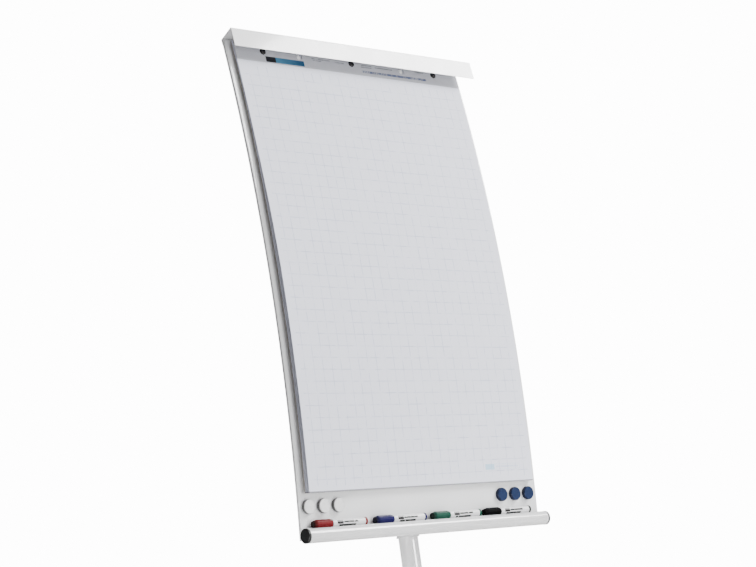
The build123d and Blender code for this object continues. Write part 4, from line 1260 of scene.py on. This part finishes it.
def make_arms(centre):
    """Five arms that are open below, each with a castor socket and its cap."""
    arms = bmesh.new()
    sockets = bmesh.new()
    caps = bmesh.new()
    for arm in ARMS:
        stem = Vector(JOINTS[f"castor_{arm}_swivel"]["pos_m"])
        outward = Vector((stem.x - centre.x, stem.y - centre.y, 0))
        length = outward.length - ARM_SHORT - ARM_START
        outward.normalize()
        sideways = Vector((-outward.y, outward.x, 0))
        rings = []
        for step in range(ARM_STEPS + 1):
            share = step / ARM_STEPS
            spot = centre + outward * (ARM_START + length * share)
            section = arm_section(share)
            rings.append([spot + sideways * p.x + Vector((0, 0, p.y)) for p in section])
        loft(arms, rings)
        place = basis(Vector((stem.x, stem.y, 0)), (0, 0, 1))
        ring(sockets, place, *SOCKET_HEIGHTS, *SOCKET_RADII, 1.2 * MM)
        rod(caps, place, *SOCKET_CAP_HEIGHTS, SOCKET_RADII[1], SOCKET_CAP_EDGE, 64, 5)
    piece("base_arms", arms, "base_lacquer", "base", "base_legs", 0.4 * MM)
    piece("stem_sockets", sockets, "base_lacquer", "base", "castor_sockets")
    piece("arm_caps", caps, "black_plastic", "base", "socket_caps")


def make_castors():
    """Twin wheels with a tread, a dished side and a hub cap; the rest of each castor is carried."""
    for arm in ARMS:
        roll = JOINTS[f"castor_{arm}_roll"]
        wheels = bmesh.new()
        for side in (-1, 1):
            place = basis(Vector(roll["pos_m"]), Vector(roll["axis"]) * side, (0, 0, 1))
            turned(wheels, place, WHEEL_SECTION, WHEEL_ROUNDING, 72)
        name = f"castor_{arm}_twin_wheels"
        body = f"castor_{arm}_wheel_pair"
        piece(name, wheels, "wheel_plastic", body, f"castor_{arm}_wheels")
        carried(f"castor_{arm}_housing", "black_plastic", 0.6 * MM)
        carried(f"castor_{arm}_stem_and_axle", "zinc_steel", 0.3 * MM)
        if arm in BRAKED_ARMS:
            carried(f"castor_{arm}_brake_pedal", "black_plastic", 0.5 * MM)


# ---------------- stage

FLOOR_RADIUS = 3.5
FLOOR_DARK = rgb(0.64, 0.64, 0.64)
FLOOR_PALE = rgb(0.67, 0.67, 0.67)


def make_floor():
    """A plain pale floor."""
    mesh = bmesh.new()
    bmesh.ops.create_circle(mesh, cap_ends=True, segments=96, radius=FLOOR_RADIUS)
    data = mesh_data("floor", mesh)
    floor = in_scene("floor", data)
    paint = Paint("look_floor")
    tone = paint.blend(paint.cloud(size=0.8, detail=3.0), FLOOR_DARK, FLOOR_PALE)
    data.materials.append(paint.finish(tone, 0.6))


def area_light(name, place, target, size, power, spread=math.pi):
    """A soft rectangular light."""
    data = bpy.data.lights.new(name, "AREA")
    data.shape = "RECTANGLE"
    data.size, data.size_y = size
    data.energy = power
    data.spread = spread
    lamp = in_scene(name, data)
    lamp.location = place
    lamp.visible_camera = False
    lamp.rotation_euler = (Vector(target) - Vector(place)).to_track_quat("-Z", "Y").to_euler()


# How much light comes from each side, and where it starts and is full along its direction
SHADED_SIDE = 0.04
LEFT_EDGES = (-0.35, 0.25)
BEHIND_LEVEL = 0.7
BEHIND_EDGES = (-0.05, 0.25)
ABOVE_LEVEL = 1.3
ABOVE_EDGES = (0.25, 0.9)
BELOW_LEVEL = 1.0
BELOW_EDGES = (-0.05, -0.4)
AROUND_LEVEL = 0.75
BACKDROP_LEVEL = 14.0


def make_light():
    """A white backdrop, light from all around except the left, and three area lights."""
    world = bpy.data.worlds.new("studio")
    bpy.context.scene.world = world
    world.use_nodes = True
    graph = Graph(world.node_tree)
    parts = graph.add("ShaderNodeSeparateXYZ")
    graph.feed(parts.inputs[0], graph.add("ShaderNodeTexCoord").outputs["Generated"])
    side = graph.span(parts.outputs["X"], *LEFT_EDGES, SHADED_SIDE, 1.0)
    behind = graph.span(parts.outputs["Y"], *BEHIND_EDGES, 0.0, BEHIND_LEVEL)
    above = graph.span(parts.outputs["Z"], *ABOVE_EDGES, 0.0, ABOVE_LEVEL)
    below = graph.span(parts.outputs["Z"], *BELOW_EDGES, 0.0, BELOW_LEVEL)
    level = graph.maths("ADD", graph.maths("ADD", behind, above), AROUND_LEVEL)
    level = graph.maths("MULTIPLY_ADD", level, side, below)
    seen = graph.add("ShaderNodeLightPath").outputs["Is Camera Ray"]
    level = graph.maths("MULTIPLY_ADD", seen, graph.maths("SUBTRACT", BACKDROP_LEVEL, level), level)
    background = world.node_tree.nodes["Background"]
    background.inputs["Color"].default_value = rgb(1, 1, 1)
    graph.feed(background.inputs["Strength"], level)
    area_light("front", (1.2, -3.9, 1.3), (0, 0, 1.2), (1.3, 2.4), 130)
    area_light("overhead", (2.8, -1.8, 4.0), (0, 0, 1.3), (1.6, 1.6), 250)
    area_light("low_left", (-1.3, -0.25, 0.3), (0, 0.2, 0.5), (0.8, 0.5), 4, math.radians(40))


CAMERA_PLACE = Vector((-2.7039, -2.8652, 1.1666))
CAMERA_YAW = math.radians(41.414)
CAMERA_PITCH = math.radians(2.363)
CAMERA_ROLL = math.radians(0.151)
FOCAL_LENGTH_IN_WIDTHS = 2.474339
SENSOR = 36.0                # Blender's usual sensor width, in its own millimetres


def make_camera():
    """The photograph's viewing angle."""
    data = bpy.data.cameras.new("camera")
    data.sensor_width = SENSOR
    data.lens = SENSOR * FOCAL_LENGTH_IN_WIDTHS
    camera = in_scene("camera", data)
    forward = Vector((
        math.sin(CAMERA_YAW) * math.cos(CAMERA_PITCH),
        math.cos(CAMERA_YAW) * math.cos(CAMERA_PITCH),
        math.sin(CAMERA_PITCH),
    ))
    right = forward.cross(Vector((0, 0, 1))).normalized()
    up = right.cross(forward)
    tilted_right = right * math.cos(CAMERA_ROLL) + up * math.sin(CAMERA_ROLL)
    tilted_up = up * math.cos(CAMERA_ROLL) - right * math.sin(CAMERA_ROLL)
    turn = Matrix((tilted_right, tilted_up, -forward)).transposed().to_4x4()
    camera.matrix_world = Matrix.Translation(CAMERA_PLACE) @ turn
    bpy.context.scene.camera = camera


make_camera()
make_light()
make_floor()
make_board()
make_core()
make_ribs()
make_hood()
make_pages()
make_backing()
make_header()
make_pins()
make_rail()
make_markers()
make_magnets()
mast_place = basis(MAST_POINT, MAST_UP)
make_mast(mast_place)
make_carriage(mast_place)
make_arms(make_hub())
make_castors()
